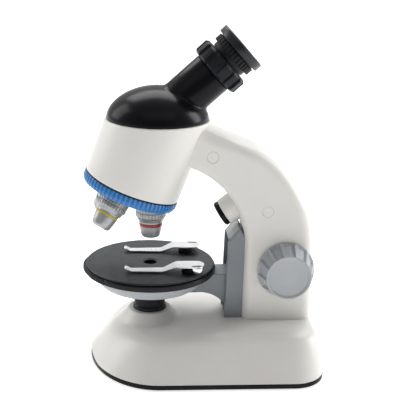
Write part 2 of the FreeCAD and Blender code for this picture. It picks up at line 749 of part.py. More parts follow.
# each objective: threaded neck, ribbed collar, barrel, taper to a rounded tip
OBJECTIVES = {
    "objective_high": {"index": 0, "tip": 62.4, "collar": 50.0, "band": "band_red"},
    "objective_low": {"index": -1, "tip": 59.5, "collar": 49.4, "band": "band_yellow"},
    "objective_middle": {"index": 1, "tip": 61.0, "collar": 49.7, "band": "band_green"},
}
lenses = []
for name, facts in OBJECTIVES.items():
    tip = facts["tip"]
    collar = facts["collar"]
    band = collar + 4.4
    body = turned(name, [
        ("4.4", "-38"), ("5.45", "-38"), ("5.45", "-41.6"), ("collar_radius", "-41.6"),
        ("collar_radius", str(-collar)), ("barrel_radius + 0.4", str(-collar - 2.4)),
        ("barrel_radius + 0.4", str(-band)), ("barrel_radius - 0.2", str(-band)),
        ("barrel_radius - 0.2", str(-band - 1.6)), ("barrel_radius", str(-band - 1.6)),
        ("barrel_radius - 0.8", str(-tip + 3.2)), ("barrel_radius - 1.6", str(-tip + 1.1)),
        ("barrel_radius - 3.1", str(-tip)), ("2.2", str(-tip)), ("2.2", str(-tip + 2)),
        ("4.4", str(-tip + 5))])
    node(name, body, None)
    objective_frame(body, facts["index"])
    sleeve = turned(facts["band"], [
        ("barrel_radius - 0.2", str(-band - 1.55)), ("barrel_radius + 0.15", str(-band - 1.55)),
        ("barrel_radius + 0.15", str(-band - 0.05)), ("barrel_radius - 0.2", str(-band - 0.05))])
    node(facts["band"], sleeve, None)
    objective_frame(sleeve, facts["index"])
    lens = turned("Lens" + name, [("0", str(-tip + 0.3)), ("2.15", str(-tip + 0.6)),
                                  ("2.15", str(-tip + 1.8)), ("0", str(-tip + 1.8))])
    objective_frame(lens, facts["index"])
    lenses.append(lens)
lens_group = doc.addObject("Part::Compound", "objective_lenses")
lens_group.Links = lenses
node("objective_lenses", lens_group, None)

# ---------------------------------------------------------------- eyepiece

zoom = turned("zoom_ring", [
    ("12.0 + slip", "tube_end + gap"), ("15.2", "tube_end + gap"), ("zoom_radius", "tube_end + 1.3"),
    ("zoom_radius", "55.4"), ("15.2", "56.5"), ("12.0 + slip", "56.5")], "eye")
doc.recompute()
flute = pocket(zoom, [("15.35", "-1.6"), ("18", "-1.6"), ("18", "1.6"), ("15.35", "1.6")],
               "tube_end", "57")
around(zoom, flute, 12)

turned("eyepiece_barrel", [
    ("10.0", "28"), ("tube_bore - slip", "28"), ("tube_bore - slip", "57.2"), ("11.7", "57.2"),
    ("11.7", "59.8"), ("13.6", "60"), ("13.6", "64"), ("12.6", "64.2"), ("12.6", "64.9"),
    ("15.25", "65.1"), ("15.25", "69.2"), ("14.8", "69.8"), ("11.6", "69.8"), ("8.0", "67.6"),
    ("8.0", "65"), ("10.0", "63")], "eye")
turned("eye_lens", [("0", "63.6"), ("4", "63.9"), ("7.9", "65.1"), ("7.9", "66"), ("4", "66.7"),
                    ("0", "67")], "eye")
turned("field_lens", [("0", "30.5"), ("9.95", "30.5"), ("9.95", "31.5"), ("5", "33"), ("0", "33.6")],
       "eye")

# ---------------------------------------------------------------- stage

stage_disc = turned("StageDisc", [
    ("stage_hole", "rim_low + 3.5"), ("37.2", "rim_low + 3.5"), ("37.2", "stage_top - 1.0"),
    ("stage_radius", "stage_top - 0.7"), ("stage_radius - 0.4", "stage_top - 0.1"),
    ("stage_radius - 1.6", "stage_top"), ("stage_hole", "stage_top")])
pivot_hole = rod("StagePivotHole", "1.5", "50", "stage_top - 0.6", "wheel_x")
cut("stage_plate", stage_disc, [pivot_hole], "stand")

rim_body = turned("RimBody", [
    ("5.0", "rim_low"), ("rim_radius - 0.3", "rim_low"), ("rim_radius", "rim_low + 0.3"),
    ("rim_radius", "rim_low + 3.2"), ("rim_radius - 0.3", "rim_low + 3.5"),
    ("rim_radius - rim_wall", "rim_low + 3.5"), ("rim_radius - rim_wall", "rim_low + 0.6"),
    ("5.0", "rim_low + 0.6")])
window = slab("RimWindow", [("0", "0"), ("-60 * cos(43)", "-60 * sin(43)"), ("-80", "0"),
                            ("-60 * cos(43)", "60 * sin(43)")], "rim_low + 0.6", "rim_low + 5")
window_room = rod("WindowRoom", "30", "rim_low - 1", "rim_low + 6")
window_cut = cut("WindowCut", window, [window_room])
rim_pivot = rod("RimPivotHole", "1.5", "50", "60", "wheel_x")
cut("stage_rim", rim_body, [window_cut, rim_pivot], "stand")

# outer side of the shallow dish under the stage: radius and drop below the rim
DISH = [("24", "10"), ("28.6", "8.6"), ("31.4", "6"), ("32.8", "2.6"), ("33.0", "0")]
turned("stage_dish", [("13", "rim_low - 10")] + [(radius, "rim_low - " + drop) for radius, drop in DISH] + [
    ("31.0", "rim_low"), ("30.6", "rim_low - 2.6"), ("29.2", "rim_low - 5.4"),
    ("26.8", "rim_low - 7.2"), ("23.6", "rim_low - 8"), ("13", "rim_low - 8")], "stand")


def make_bracket():
    """Arm under the stage, arched below, that ends in the carriage in the column."""
    half = value("bracket_half")
    low = value("rim_low")
    top = low - 0.4
    foot = low - 20
    back = value("column_face") - 0.8
    arch = Part.Arc(Vector(27, 0, low - 12.4), Vector(38.5, 0, low - 14.6), Vector(44.4, 0, foot))
    corners = [(back, foot), (back, low + 7), (48.0, low + 7), (46.6, top), (20, top),
               (20, low - 12.4), (27, low - 12.4)]
    places = [Vector(x, 0, z) for x, z in corners]
    edges = [Part.LineSegment(first, second).toShape() for first, second in zip(places, places[1:])]
    edges.append(arch.toShape())
    edges.append(Part.LineSegment(Vector(44.4, 0, foot), places[0]).toShape())
    block = prism(Part.Wire(edges), -half, half)
    form = [Vector(0, 0, foot)] + [Vector(value(radius), 0, low - value(drop)) for radius, drop in DISH]
    form[0].z = form[1].z
    form.append(Vector(0, 0, low))
    dish = Part.Face(Part.makePolygon(form + form[:1])).revolve(Vector(), Vector(0, 0, 1), 360)
    rack_back = value("rack_back")
    neck = Part.makeBox(rack_back - back + 0.5, 11.0, 15.0, Vector(back - 0.5, -5.5, low - 8))
    body = block.cut(dish).fuse(neck)
    solids = sorted(body.Solids, key=lambda solid: solid.Volume)
    feature("stage_bracket", solids[-1].removeSplitter(), "stand")


make_bracket()

# toothed rack behind the carriage, in mesh with the pinion
RACK_TEETH = 11


def make_rack():
    module = value("pinion_module")
    pitch = math.pi * module
    line = value("knob_x") - value("pinion_pitch")
    half_tooth = pitch / 4 - 0.12
    lean = math.tan(math.radians(20)) * module
    back = value("rack_back")
    first = value("knob_z") - 6 * pitch
    corners = [(back, first - pitch / 2), (line - 1.25 * module, first - pitch / 2)]
    for index in range(RACK_TEETH):
        middle = first + index * pitch
        corners += [(line - 1.25 * module, middle - half_tooth - 1.25 * lean),
                    (line + 0.9 * module, middle - half_tooth + 0.9 * lean),
                    (line + 0.9 * module, middle + half_tooth - 0.9 * lean),
                    (line - 1.25 * module, middle + half_tooth + 1.25 * lean)]
    last = first + (RACK_TEETH - 0.5) * pitch
    corners += [(line - 1.25 * module, last), (back, last)]
    feature("focus_rack", prism(polygon(corners), -3, 3), "stand")


make_rack()

# filter wheel with a knurled edge that shows in the rim's window
wheel_web = turned("WheelWeb", [
    ("1.5 + slip", "rim_low + 1.3"), ("26", "rim_low + 1.3"), ("27", "rim_low + 0.9"),
    ("wheel_radius - 0.3", "rim_low + 0.9"), ("wheel_radius", "rim_low + 1.2"),
    ("wheel_radius", "rim_low + 2.9"), ("wheel_radius - 0.3", "rim_low + 3.2"),
    ("27", "rim_low + 3.2"), ("26", "rim_low + 2.5"), ("1.5 + slip", "rim_low + 2.5")])
wheel_holes = []
for index, hole in enumerate((3.5, 3.4, 3.4, 1.9, 1.2)):
    angle = math.radians(72 * index)
    wheel_holes.append(rod("WheelHole%d" % index, str(hole), "50", "60",
                           str(8.5 * math.cos(angle)), str(8.5 * math.sin(angle))))
wheel = cut("filter_wheel", wheel_web, wheel_holes)
node("filter_wheel", wheel, "stand")
wheel.setExpression("Placement.Base.x", bound("axis_x + wheel_x"))
filters = []
for index in (1, 2):
    angle = math.radians(72 * index)
    filters.append(rod("Filter%d" % index, "3.35", "rim_low + 1.5", "rim_low + 2.3",
                       str(8.5 * math.cos(angle)), str(8.5 * math.sin(angle))))
film = group("colour_filters", filters)
film.setExpression("Placement.Base.x", bound("axis_x + wheel_x"))
turned("wheel_pivot", [("0", "rim_low - 0.9"), ("3.2", "rim_low - 0.9"), ("3.2", "rim_low - 0.1"),
                       ("1.45", "rim_low"), ("1.45", "stage_top - 0.7"), ("0", "stage_top - 0.7")],
       "stand")
nodes["wheel_pivot"].setExpression("Placement.Base.x", bound("axis_x + wheel_x"))


# ---------------------------------------------------------------- clips

def make_clip(name, side):
    """Bent steel strip on a vertical pin, with a finger tab on its outer edge."""
    top = value("stage_top")
    high = top + 4.4
    low = top + 0.35
    thick = 0.8
    x = value("clip_x")
    y = value("clip_y")
    line = [(-15.5, low + 2.0), (-11.5, low), (7.5, low), (14.5, high - thick), (30.5, high - thick)]
    upper = [(px, pz + thick) for px, pz in reversed(line)]
    strip = prism(polygon(line + upper), -30, 30)
    plan = [(-16, -2.8), (8, -3.6), (16, -5.6), (26, -6.0), (30, -4.6), (31, 0), (30, 4.6),
            (26, 5.6), (16, 5.2), (8, 3.4), (-16, 2.8)]
    corners = [Vector(px, side * (y + py * -1), 0) for px, py in plan]
    shadow = Part.Face(Part.makePolygon(corners + corners[:1])).extrude(Vector(0, 0, 100))
    clip = strip.common(shadow)
    tab = Part.makeBox(5.8, thick, 4.0, Vector(24.6, 0, high - 4.0))
    tab.translate(Vector(0, side * (y + 6.0) - (thick if side > 0 else 0), 0))
    boss = Part.makeCylinder(2.4, 1.4, Vector(x, side * y, high - thick - 1.4))
    hole = Part.makeCylinder(1.2 + value("slip"), 1.4, Vector(x, side * y, high - thick - 1.4))
    clip = clip.fuse([tab, boss]).cut(hole)
    feature(name, clip.removeSplitter(), "stand")


make_clip("clip_near", -1)
make_clip("clip_far", 1)
posts = []
for index, side in enumerate(("-", "")):
    post = rod("Post%d" % index, "4.2", "stage_top", "stage_top + 1.9", "clip_x", side + "clip_y")
    pin = rod("Pin%d" % index, "1.2", "stage_top + 1.5", "stage_top + 3.5", "clip_x", side + "clip_y")
    posts.append(fuse("PostAndPin%d" % index, [post, pin]))
group("clip_posts", posts)

# ---------------------------------------------------------------- focus drive

focus_shaft = rod("focus_shaft", "shaft_radius", "-knob_end + 4", "knob_end - 4", "knob_x",
                  z="knob_z", axis="y")
node("focus_shaft", focus_shaft, None)
focus_shaft.setExpression("Placement.Base.x", bound("axis_x + knob_x"))


def make_pinion():
    """Spur pinion with straight-sided teeth, one of them facing a gap of the rack."""
    module = value("pinion_module")
    count = int(value("pinion_teeth"))
    pitch = value("pinion_pitch")
    root = pitch - 1.25 * module
    tip = pitch + 0.9 * module
    step = 2 * math.pi / count
    shape = Part.makeCylinder(root, 6, Vector(0, -3, 0), Vector(0, 1, 0))
    teeth = []
    for index in range(count):
        middle = math.pi + step * (index + 0.5)
        corners = []
        for radius, share in ((root - 0.3, 0.30), (pitch, 0.225), (tip, 0.10)):
            corners.append((radius, share * step))
        loop = [(radius * math.cos(middle - spread), radius * math.sin(middle - spread))
                for radius, spread in corners]
        loop += [(radius * math.cos(middle + spread), radius * math.sin(middle + spread))
                 for radius, spread in reversed(corners)]
        teeth.append(prism(polygon(loop), -3, 3))
    bore = Part.makeCylinder(value("shaft_radius"), 8, Vector(0, -4, 0), Vector(0, 1, 0))
    gear = shape.fuse(teeth).cut(bore)
    item = feature("focus_pinion", gear.removeSplitter())
    node("focus_pinion", item, None)
    item.Placement = FreeCAD.Placement(point("axis_x + knob_x", "0", "knob_z"), FreeCAD.Rotation())


make_pinion()


def make_knob(name, sign):
    """Tapered hand wheel with twelve shallow finger pockets and a dished face."""
    body = turned(name, [
        ("shaft_radius", "knob_start"), ("knob_rear", "knob_start"), ("knob_rear", "knob_start + 1.4"),
        ("knob_front + 0.6", "knob_end - 1.2"), ("knob_front", "knob_end"),
        ("knob_front - 1", "knob_end"), ("knob_front - 1.8", "knob_end - 0.7"),
        ("0", "knob_end - 1.2"), ("0", "knob_end - 4"), ("shaft_radius", "knob_end - 4")])
    doc.recompute()
    groove = pocket(body, [("15.4", "-2.4"), ("20", "-2.4"), ("20", "2.4"), ("15.4", "2.4")],
                    "knob_start + 1.4", "knob_end")
    around(body, groove, 12)
    node(name, body, None)
    body.Placement = FreeCAD.Placement(point("axis_x + knob_x", "0", "knob_z"),
                                       FreeCAD.Rotation(Vector(1, 0, 0), -90 * sign))


make_knob("focus_knob_near", -1)
make_knob("focus_knob_far", 1)

# ---------------------------------------------------------------- export

doc.recompute()
failed = [item.Name for item in doc.Objects if {"Invalid", "Error"} & set(item.State)]
if failed:
    raise RuntimeError("these objects failed: " + ", ".join(failed))
for name, item in nodes.items():
    if item.Shape.isNull() or not item.Shape.isValid():
        raise RuntimeError("bad shape: " + name)

os.makedirs("parts", exist_ok=True)
for name, item in nodes.items():
    item.Shape.exportStep("parts/%s.step" % name)
    extent = item.Shape.BoundBox
    print("%-18s %9.1f mm3  solids %d  x %.1f..%.1f  y %.1f..%.1f  z %.1f..%.1f" % (
        name, item.Shape.Volume, len(item.Shape.Solids), extent.XMin, extent.XMax, extent.YMin,
        extent.YMax, extent.ZMin, extent.ZMax))
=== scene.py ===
import json
import math

import bmesh
import bpy
from mathutils import Matrix, Vector


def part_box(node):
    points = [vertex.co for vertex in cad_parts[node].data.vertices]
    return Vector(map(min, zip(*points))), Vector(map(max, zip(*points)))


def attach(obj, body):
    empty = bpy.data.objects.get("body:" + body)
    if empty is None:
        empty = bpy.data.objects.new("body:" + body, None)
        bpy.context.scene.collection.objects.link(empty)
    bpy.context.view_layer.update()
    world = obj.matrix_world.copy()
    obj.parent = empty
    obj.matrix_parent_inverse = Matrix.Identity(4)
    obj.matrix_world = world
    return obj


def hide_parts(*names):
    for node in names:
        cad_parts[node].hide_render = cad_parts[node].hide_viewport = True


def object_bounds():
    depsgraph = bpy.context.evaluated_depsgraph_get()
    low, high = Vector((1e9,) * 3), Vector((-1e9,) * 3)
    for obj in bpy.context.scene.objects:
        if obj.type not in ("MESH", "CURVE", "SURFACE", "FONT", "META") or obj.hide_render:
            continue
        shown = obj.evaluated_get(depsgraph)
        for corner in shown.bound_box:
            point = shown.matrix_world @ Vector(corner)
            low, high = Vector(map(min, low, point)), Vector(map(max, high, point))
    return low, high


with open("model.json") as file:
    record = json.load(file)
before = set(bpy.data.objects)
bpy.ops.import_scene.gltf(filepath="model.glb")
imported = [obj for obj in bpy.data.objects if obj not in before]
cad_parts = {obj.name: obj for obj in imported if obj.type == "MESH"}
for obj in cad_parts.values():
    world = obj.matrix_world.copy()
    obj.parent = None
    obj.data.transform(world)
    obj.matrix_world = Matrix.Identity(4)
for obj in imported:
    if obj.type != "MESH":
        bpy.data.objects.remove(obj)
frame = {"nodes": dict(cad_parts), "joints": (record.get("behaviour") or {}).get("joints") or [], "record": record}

# A toy microscope. Shapes are written in millimetres, in local frames whose origin is on an axis of
# the object. Each frame's matrix turns them into metres in the frame shared with the CAD model.

CAD_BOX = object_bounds()
MM = 0.001
RECORD = frame["record"]
JOINTS = {joint["name"]: joint for joint in frame["joints"]}
BODY_OF = {node: body for body, nodes in RECORD["behaviour"]["bodies"].items() for node in nodes}


# ---------------- frames

def axis_frame(origin, direction):
    """Z along a direction in the symmetry plane, Y across the object."""
    along = Vector(direction).normalized()
    across = Vector((0, 1, 0))
    turn = Matrix((across.cross(along), across, along)).transposed().to_4x4()
    return Matrix.Translation(origin) @ turn @ Matrix.Scale(MM, 4)


APEX = Vector(JOINTS["nosepiece_turn"]["pos_m"])
HEAD_AXIS = Vector(JOINTS["nosepiece_turn"]["axis"])
MIRROR_POINT = Vector(JOINTS["zoom_turn"]["pos_m"])
KNOB_CENTRE = Vector(JOINTS["focus_turn"]["pos_m"])
TILT = math.atan2(HEAD_AXIS.x, HEAD_AXIS.z)

STAND = axis_frame((APEX.x, 0, 0), (0, 0, 1))
HEAD = axis_frame(APEX, HEAD_AXIS)
EYE = axis_frame(MIRROR_POINT, JOINTS["zoom_turn"]["axis"])
AIM_HEIGHT = 62.0  # of the spot on the stand's axis that the upper lamp points at
POD_LIFT = math.radians(33.6)
POD = axis_frame((APEX.x, 0, AIM_HEIGHT * MM), (math.cos(POD_LIFT), 0, math.sin(POD_LIFT)))
SIDES = ((-1, "near"), (1, "far"))


def outwards(side):
    """Turns Z to point away from the symmetry plane, on the near side (-1) or the far side (1)."""
    return Matrix.Rotation(math.radians(-90 * side), 4, "X")


def knob_frame(side):
    """Z along the focus shaft, outwards."""
    return Matrix.Translation(KNOB_CENTRE) @ outwards(side) @ Matrix.Scale(MM, 4)


def objective_frame(index):
    """The stand's axis through the apex, turned about the head axis by thirds."""
    turn = Matrix.Rotation(math.radians(120 * index), 4, HEAD_AXIS)
    return Matrix.Translation(APEX) @ turn @ Matrix.Scale(MM, 4)


# ---------------- shape tools

CORNER_SHARE = 0.49  # the most of an edge that the arc at one corner takes
WELD = 0.002  # millimetres between points that are made one
SLIVER = 0.001
TURNS = 96  # columns of an ordinary solid of revolution
ROUND = 128  # columns of a wide one


def rounded(corners, steps=4):
    """Points (a, b) through corners (a, b) or (a, b, radius), each radius made an arc."""
    points = []
    count = len(corners)
    for index, corner in enumerate(corners):
        here = Vector(corner[:2])
        if len(corner) < 3:
            points.append(here)
            continue
        before = Vector(corners[index - 1][:2]) - here
        after = Vector(corners[(index + 1) % count][:2]) - here
        half = before.angle(after) / 2
        run = min(corner[2] / math.tan(half), CORNER_SHARE * before.length,
                  CORNER_SHARE * after.length)
        inward = (before.normalized() + after.normalized()).normalized()
        centre = here + inward * run / math.cos(half)
        start = here + before.normalized() * run - centre
        end = here + after.normalized() * run - centre
        sweep = start.angle_signed(end)
        points += [centre + Matrix.Rotation(-sweep * step / steps, 2) @ start
                   for step in range(steps + 1)]
    return points


def evenly(count):
    """Angles about a circle."""
    return [2 * math.pi * index / count for index in range(count)]


def ribbed(count, stations, start=0.0):
    """Angles and groove shares about a circle, from one rib's (share of pitch, groove share)."""
    pitch = 2 * math.pi / count
    return [(start + pitch * (index + share), deep) for index in range(count)
            for share, deep in stations]


def beyond(limit, deep):
    """Grooves of one depth outside a radius."""
    return lambda radius, height: deep if radius > limit else 0.0


def lathe(profile, columns, depth):
    """Rings about Z from (radius, height) points. With ribbed columns, depth(radius, height) says
    how deep the grooves are there."""
    if isinstance(columns, int):
        columns = [(angle, 0.0) for angle in evenly(columns)]
    rings = []
    for radius, height in profile:
        cut = depth(radius, height) if depth else 0.0
        rings.append([Vector(((radius - cut * deep) * math.cos(angle),
                              (radius - cut * deep) * math.sin(angle), height))
                      for angle, deep in columns])
    return rings


def skin(rings, loop=False, caps=True):
    """Points and faces through closed rings of equal length."""
    width = len(rings[0])
    points = [point for ring in rings for point in ring]
    faces = []
    for first in range(len(rings) if loop else len(rings) - 1):
        second = (first + 1) % len(rings)
        for column in range(width):
            after = (column + 1) % width
            faces.append((first * width + column, first * width + after,
                          second * width + after, second * width + column))
    if caps and not loop:
        faces.append(tuple(range(width))[::-1])
        faces.append(tuple(range(len(points) - width, len(points))))
    return points, faces


def turned(corners, columns=TURNS, depth=None, steps=4):
    """A solid of revolution from a closed loop of (radius, height) corners, rounded or not."""
    return skin(lathe(rounded(corners, steps), columns, depth), loop=True)


def prism(outline, low, high):
    """A flat XZ outline between two places along Y."""
    return skin([[Vector((x, y, z)) for x, z in outline] for y in (low, high)])


def slab(outline, low, high):
    """A flat XY outline between two heights."""
    return skin([[Vector((x, y, z)) for x, y in outline] for z in (low, high)])


def block(x, y, z):
    """A box from its (low, high) pair along each axis."""
    return slab([(x[0], y[0]), (x[1], y[0]), (x[1], y[1]), (x[0], y[1])], *z)


def shifted(shape, offset, turn=Matrix.Identity(4)):
    """A shape turned about its origin, then moved."""
    points, faces = shape
    return [turn @ point + Vector(offset) for point in points], faces


def drill(radius, low, high, x=0.0, y=0.0, columns=32):
    """A round tool that stands on Z."""
    tool = turned([(0.0, low), (radius, low), (radius, high), (0.0, high)], columns)
    return shifted(tool, (x, y, 0))


def arc(centre, radius, start, end, steps):
    """Points of an arc, angles in degrees."""
    angles = [math.radians(start + (end - start) * step / steps) for step in range(steps + 1)]
    return [(centre[0] + radius * math.cos(angle), centre[1] + radius * math.sin(angle))
            for angle in angles]


def arc_through(first, middle, last, count):
    """Points of the arc through three places, without the last."""
    ax, ay = first
    bx, by = middle
    cx, cy = last
    twice = 2 * (ax * (by - cy) + bx * (cy - ay) + cx * (ay - by))
    one, two, three = ax * ax + ay * ay, bx * bx + by * by, cx * cx + cy * cy
    centre = Vector(((one * (by - cy) + two * (cy - ay) + three * (ay - by)) / twice,
                     (one * (cx - bx) + two * (ax - cx) + three * (bx - ax)) / twice))
    start, end = Vector(first) - centre, Vector(last) - centre
    sweep = -start.angle_signed(end)
    return [centre + Matrix.Rotation(sweep * step / count, 2) @ start for step in range(count)]


def line_through(first, last, count):
    """Points of a line, without the last."""
    return [Vector(first).lerp(Vector(last), step / count) for step in range(count)]


def resampled(line, count):
    """Points evenly spaced along a polyline."""
    steps = [0.0]
    for first, second in zip(line, line[1:]):
        steps.append(steps[-1] + (Vector(second) - Vector(first)).length)
    points = []
    index = 0
    for number in range(count):
        goal = steps[-1] * number / (count - 1)
        while index < len(line) - 2 and steps[index + 1] < goal:
            index += 1
        length = steps[index + 1] - steps[index]
        share = (goal - steps[index]) / length if length else 0.0
        points.append(Vector(line[index]).lerp(Vector(line[index + 1]), min(1.0, share)))
    return points


def blend(low, high, share):
    return low + (high - low) * share


def smooth(share):
    """From 0 to 1 with level ends."""
    share = min(1.0, max(0.0, share))
    return share * share * (3 - 2 * share)


def mesh_of(name, shapes, place, weld):
    """One mesh from shapes in a local frame."""
    builder = bmesh.new()
    for points, faces in shapes:
        corners = [builder.verts.new(place @ Vector(point)) for point in points]
        for face in faces:
            builder.faces.new([corners[index] for index in face])
    if weld:
        bmesh.ops.remove_doubles(builder, verts=builder.verts, dist=WELD * MM)
        bmesh.ops.dissolve_degenerate(builder, edges=builder.edges, dist=SLIVER * MM)
    bmesh.ops.recalc_face_normals(builder, faces=builder.faces)
    mesh = bpy.data.meshes.new(name)
    builder.to_mesh(mesh)
    builder.free()
    return mesh


def linked(name, data):
    """A new object in the scene."""
    made = bpy.data.objects.new(name, data)
    bpy.context.scene.collection.objects.link(made)
    return made


def round_edges(made, width, segments, angle):
    """Bevel the edges that turn by more than an angle, in degrees."""
    edge = made.modifiers.new("edge", "BEVEL")
    edge.width = width * MM
    edge.segments = segments
    edge.limit_method = "ANGLE"
    edge.angle_limit = math.radians(angle)


def piece(name, shapes, finish, node, place=STAND, replaces=True, sharp=32.0, bevel=None):
    """Make one object from shapes in a local frame, in the given finish. It rides as its CAD node does."""
    mesh = mesh_of(name, shapes, place, weld=True)
    mesh.polygons.foreach_set("use_smooth", [True] * len(mesh.polygons))
    mesh.materials.append(finish)
    made = linked(name, mesh)
    if bevel:
        round_edges(made, bevel, 3, sharp)
    mesh.set_sharp_from_angle(angle=math.radians(60 if bevel else sharp))
    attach(made, BODY_OF[node])
    if replaces:
        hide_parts(*([node] if replaces is True else replaces))
    return made


def carved(made, tools):
    """Cut closed shapes out of a piece of the stand."""
    tool = linked("tool", mesh_of("tool", tools, STAND, weld=False))
    step = made.modifiers.new("cut", "BOOLEAN")
    step.operation = "DIFFERENCE"
    step.solver = "EXACT"
    step.object = tool
    seen = made.evaluated_get(bpy.context.evaluated_depsgraph_get())
    result = bpy.data.meshes.new_from_object(seen)
    made.modifiers.clear()
    made.data = result
    bpy.data.objects.remove(tool)
    result.set_sharp_from_angle(angle=math.radians(30))


# ---------------- materials

def map_range(tree, source, span, goal):
    """A clamped map from one (low, high) range to another."""
    made = tree.nodes.new("ShaderNodeMapRange")
    for name, value in zip(("From Min", "From Max", "To Min", "To Max"), (*span, *goal)):
        made.inputs[name].default_value = value
    tree.links.new(source, made.inputs["Value"])
    return made.outputs["Result"]


NOISE_SPAN = (0.3, 0.7)  # where most of a noise texture's values lie
EDGE_SPAN = (0.52, 0.62)  # the pointiness of an edge that hands rub
MOTTLE_SIZE = 14.0
GLOSS_SIZE = 5.0


def material(name, colour, roughness, grain, grain_size=0.4, mottle=0.03, metallic=0.0,
             specular=0.5, coat=0.0, brushed=None, wear=0.0, soft=0.0):
    """A moulded or plated surface. Noise varies the colour, the roughness and the relief. Grain is
    the depth and grain_size the width of the texture, in millimetres. Brushed stretches it."""
    made = bpy.data.materials.new(name)
    made.use_nodes = True
    tree = made.node_tree
    nodes, links = tree.nodes, tree.links
    shader = nodes["Principled BSDF"]
    shader.inputs["Metallic"].default_value = metallic
    shader.inputs["Specular IOR Level"].default_value = specular
    shader.inputs["Coat Weight"].default_value = coat
    shader.inputs["Coat Roughness"].default_value = 0.08
    if soft:
        shader.inputs["Subsurface Weight"].default_value = soft
        shader.inputs["Subsurface Radius"].default_value = (0.9, 0.8, 0.7)
        shader.inputs["Subsurface Scale"].default_value = MM
    place = nodes.new("ShaderNodeTexCoord").outputs["Object"]

    def noise(size, detail=3.0, stretch=None):
        source = place
        if stretch:
            mapping = nodes.new("ShaderNodeMapping")
            mapping.inputs["Scale"].default_value = stretch
            links.new(place, mapping.inputs["Vector"])
            source = mapping.outputs["Vector"]
        texture = nodes.new("ShaderNodeTexNoise")
        texture.inputs["Scale"].default_value = 1 / (size * MM)
        texture.inputs["Detail"].default_value = detail
        links.new(source, texture.inputs["Vector"])
        return texture.outputs["Fac"]

    broad = noise(MOTTLE_SIZE)
    fine = noise(grain_size, 2.0, brushed)
    tint = nodes.new("ShaderNodeMix")
    tint.data_type = "RGBA"
    links.new(map_range(tree, broad, NOISE_SPAN, (0.0, 1.0)), tint.inputs["Factor"])
    tint.inputs["A"].default_value = (*[channel * (1 - mottle) for channel in colour], 1)
    tint.inputs["B"].default_value = (*[min(1, channel * (1 + mottle)) for channel in colour], 1)
    shade = tint.outputs["Result"]
    if wear:
        rubbed = nodes.new("ShaderNodeMix")
        rubbed.data_type = "RGBA"
        edge = nodes.new("ShaderNodeNewGeometry").outputs["Pointiness"]
        links.new(map_range(tree, edge, EDGE_SPAN, (0.0, wear)), rubbed.inputs["Factor"])
        links.new(shade, rubbed.inputs["A"])
        pale = [min(1, channel * 1.6 + 0.05) for channel in colour]
        rubbed.inputs["B"].default_value = (*pale, 1)
        shade = rubbed.outputs["Result"]
    links.new(shade, shader.inputs["Base Color"])
    gloss = map_range(tree, noise(GLOSS_SIZE), NOISE_SPAN, (roughness * 0.9, roughness * 1.12))
    links.new(gloss, shader.inputs["Roughness"])
    relief = nodes.new("ShaderNodeBump")
    relief.inputs["Distance"].default_value = grain * MM
    relief.inputs["Strength"].default_value = 0.6
    links.new(fine, relief.inputs["Height"])
    links.new(relief.outputs["Normal"], shader.inputs["Normal"])
    return made


WHITE = material("white_abs", (0.785, 0.768, 0.73), 0.32, grain=0.010, grain_size=0.5, mottle=0.012,
                 soft=0.06)
BLACK_GLOSS = material("black_gloss_abs", (0.005, 0.005, 0.007), 0.22, grain=0.005, grain_size=0.5,
                       mottle=0.15, specular=0.15)
BLACK_SATIN = material("black_satin_abs", (0.012, 0.013, 0.016), 0.38, grain=0.02, grain_size=0.35,
                       mottle=0.15, specular=0.2)
STAGE_BLACK = material("stage_black_abs", (0.013, 0.0155, 0.021), 0.44, grain=0.16, grain_size=0.7,
                       mottle=0.15, specular=0.42)
RIM_BLACK = material("rim_black_abs", (0.008, 0.008, 0.010), 0.2, grain=0.008, mottle=0.12,
                     specular=0.2)
BLUE = material("blue_abs", (0.036, 0.21, 0.53), 0.32, grain=0.012, mottle=0.06, wear=0.25)
GREY = material("grey_abs", (0.235, 0.258, 0.28), 0.44, grain=0.02, mottle=0.03)
KNOB_GREY = material("knob_grey_abs", (0.44, 0.46, 0.48), 0.36, grain=0.015, mottle=0.03)
LIGHT_GREY = material("light_grey_abs", (0.42, 0.44, 0.46), 0.42, grain=0.015, mottle=0.02)
CLIP_STEEL = material("plated_steel", (0.90, 0.90, 0.91), 0.30, grain=0.002, grain_size=0.3,
                      mottle=0.03, metallic=1.0, brushed=(1, 8, 8))
SCREW_STEEL = material("zinc_steel", (0.62, 0.62, 0.62), 0.32, grain=0.01, grain_size=0.2,
                       mottle=0.08, metallic=1.0)
SILVER = material("silver_lacquer", (0.40, 0.41, 0.42), 0.34, grain=0.006, grain_size=0.25,
                  mottle=0.04, metallic=0.55, brushed=(1, 1, 6))
RED_BAND = material("red_lacquer", (0.36, 0.02, 0.02), 0.35, grain=0.004, mottle=0.06)
YELLOW_BAND = material("yellow_lacquer", (0.66, 0.50, 0.02), 0.35, grain=0.004, mottle=0.06)
GREEN_BAND = material("green_lacquer", (0.03, 0.30, 0.08), 0.35, grain=0.004, mottle=0.06)
CUP_BLACK = material("cup_black_abs", (0.014, 0.015, 0.018), 0.24, grain=0.004, mottle=0.12,
                     specular=0.4)
RUBBER = material("black_rubber", (0.022, 0.022, 0.022), 0.75, grain=0.04, grain_size=0.3,
                  mottle=0.1)
BRASS = material("machined_brass", (0.72, 0.52, 0.22), 0.30, grain=0.01, grain_size=0.3,
                 mottle=0.06, metallic=1.0)
BOARD = material("circuit_board", (0.03, 0.16, 0.06), 0.45, grain=0.02, grain_size=1.2, mottle=0.10)
CELL = material("cell_jacket", (0.05, 0.13, 0.09), 0.3, grain=0.01, mottle=0.05)
FILM = material("blue_film", (0.06, 0.20, 0.70), 0.2, grain=0.004, mottle=0.04)
MIRROR = material("mirror_silver", (0.90, 0.91, 0.92), 0.05, grain=0.002, mottle=0.01, metallic=1.0)
RED = material("switch_red", (0.45, 0.02, 0.02), 0.34, grain=0.01, mottle=0.05)
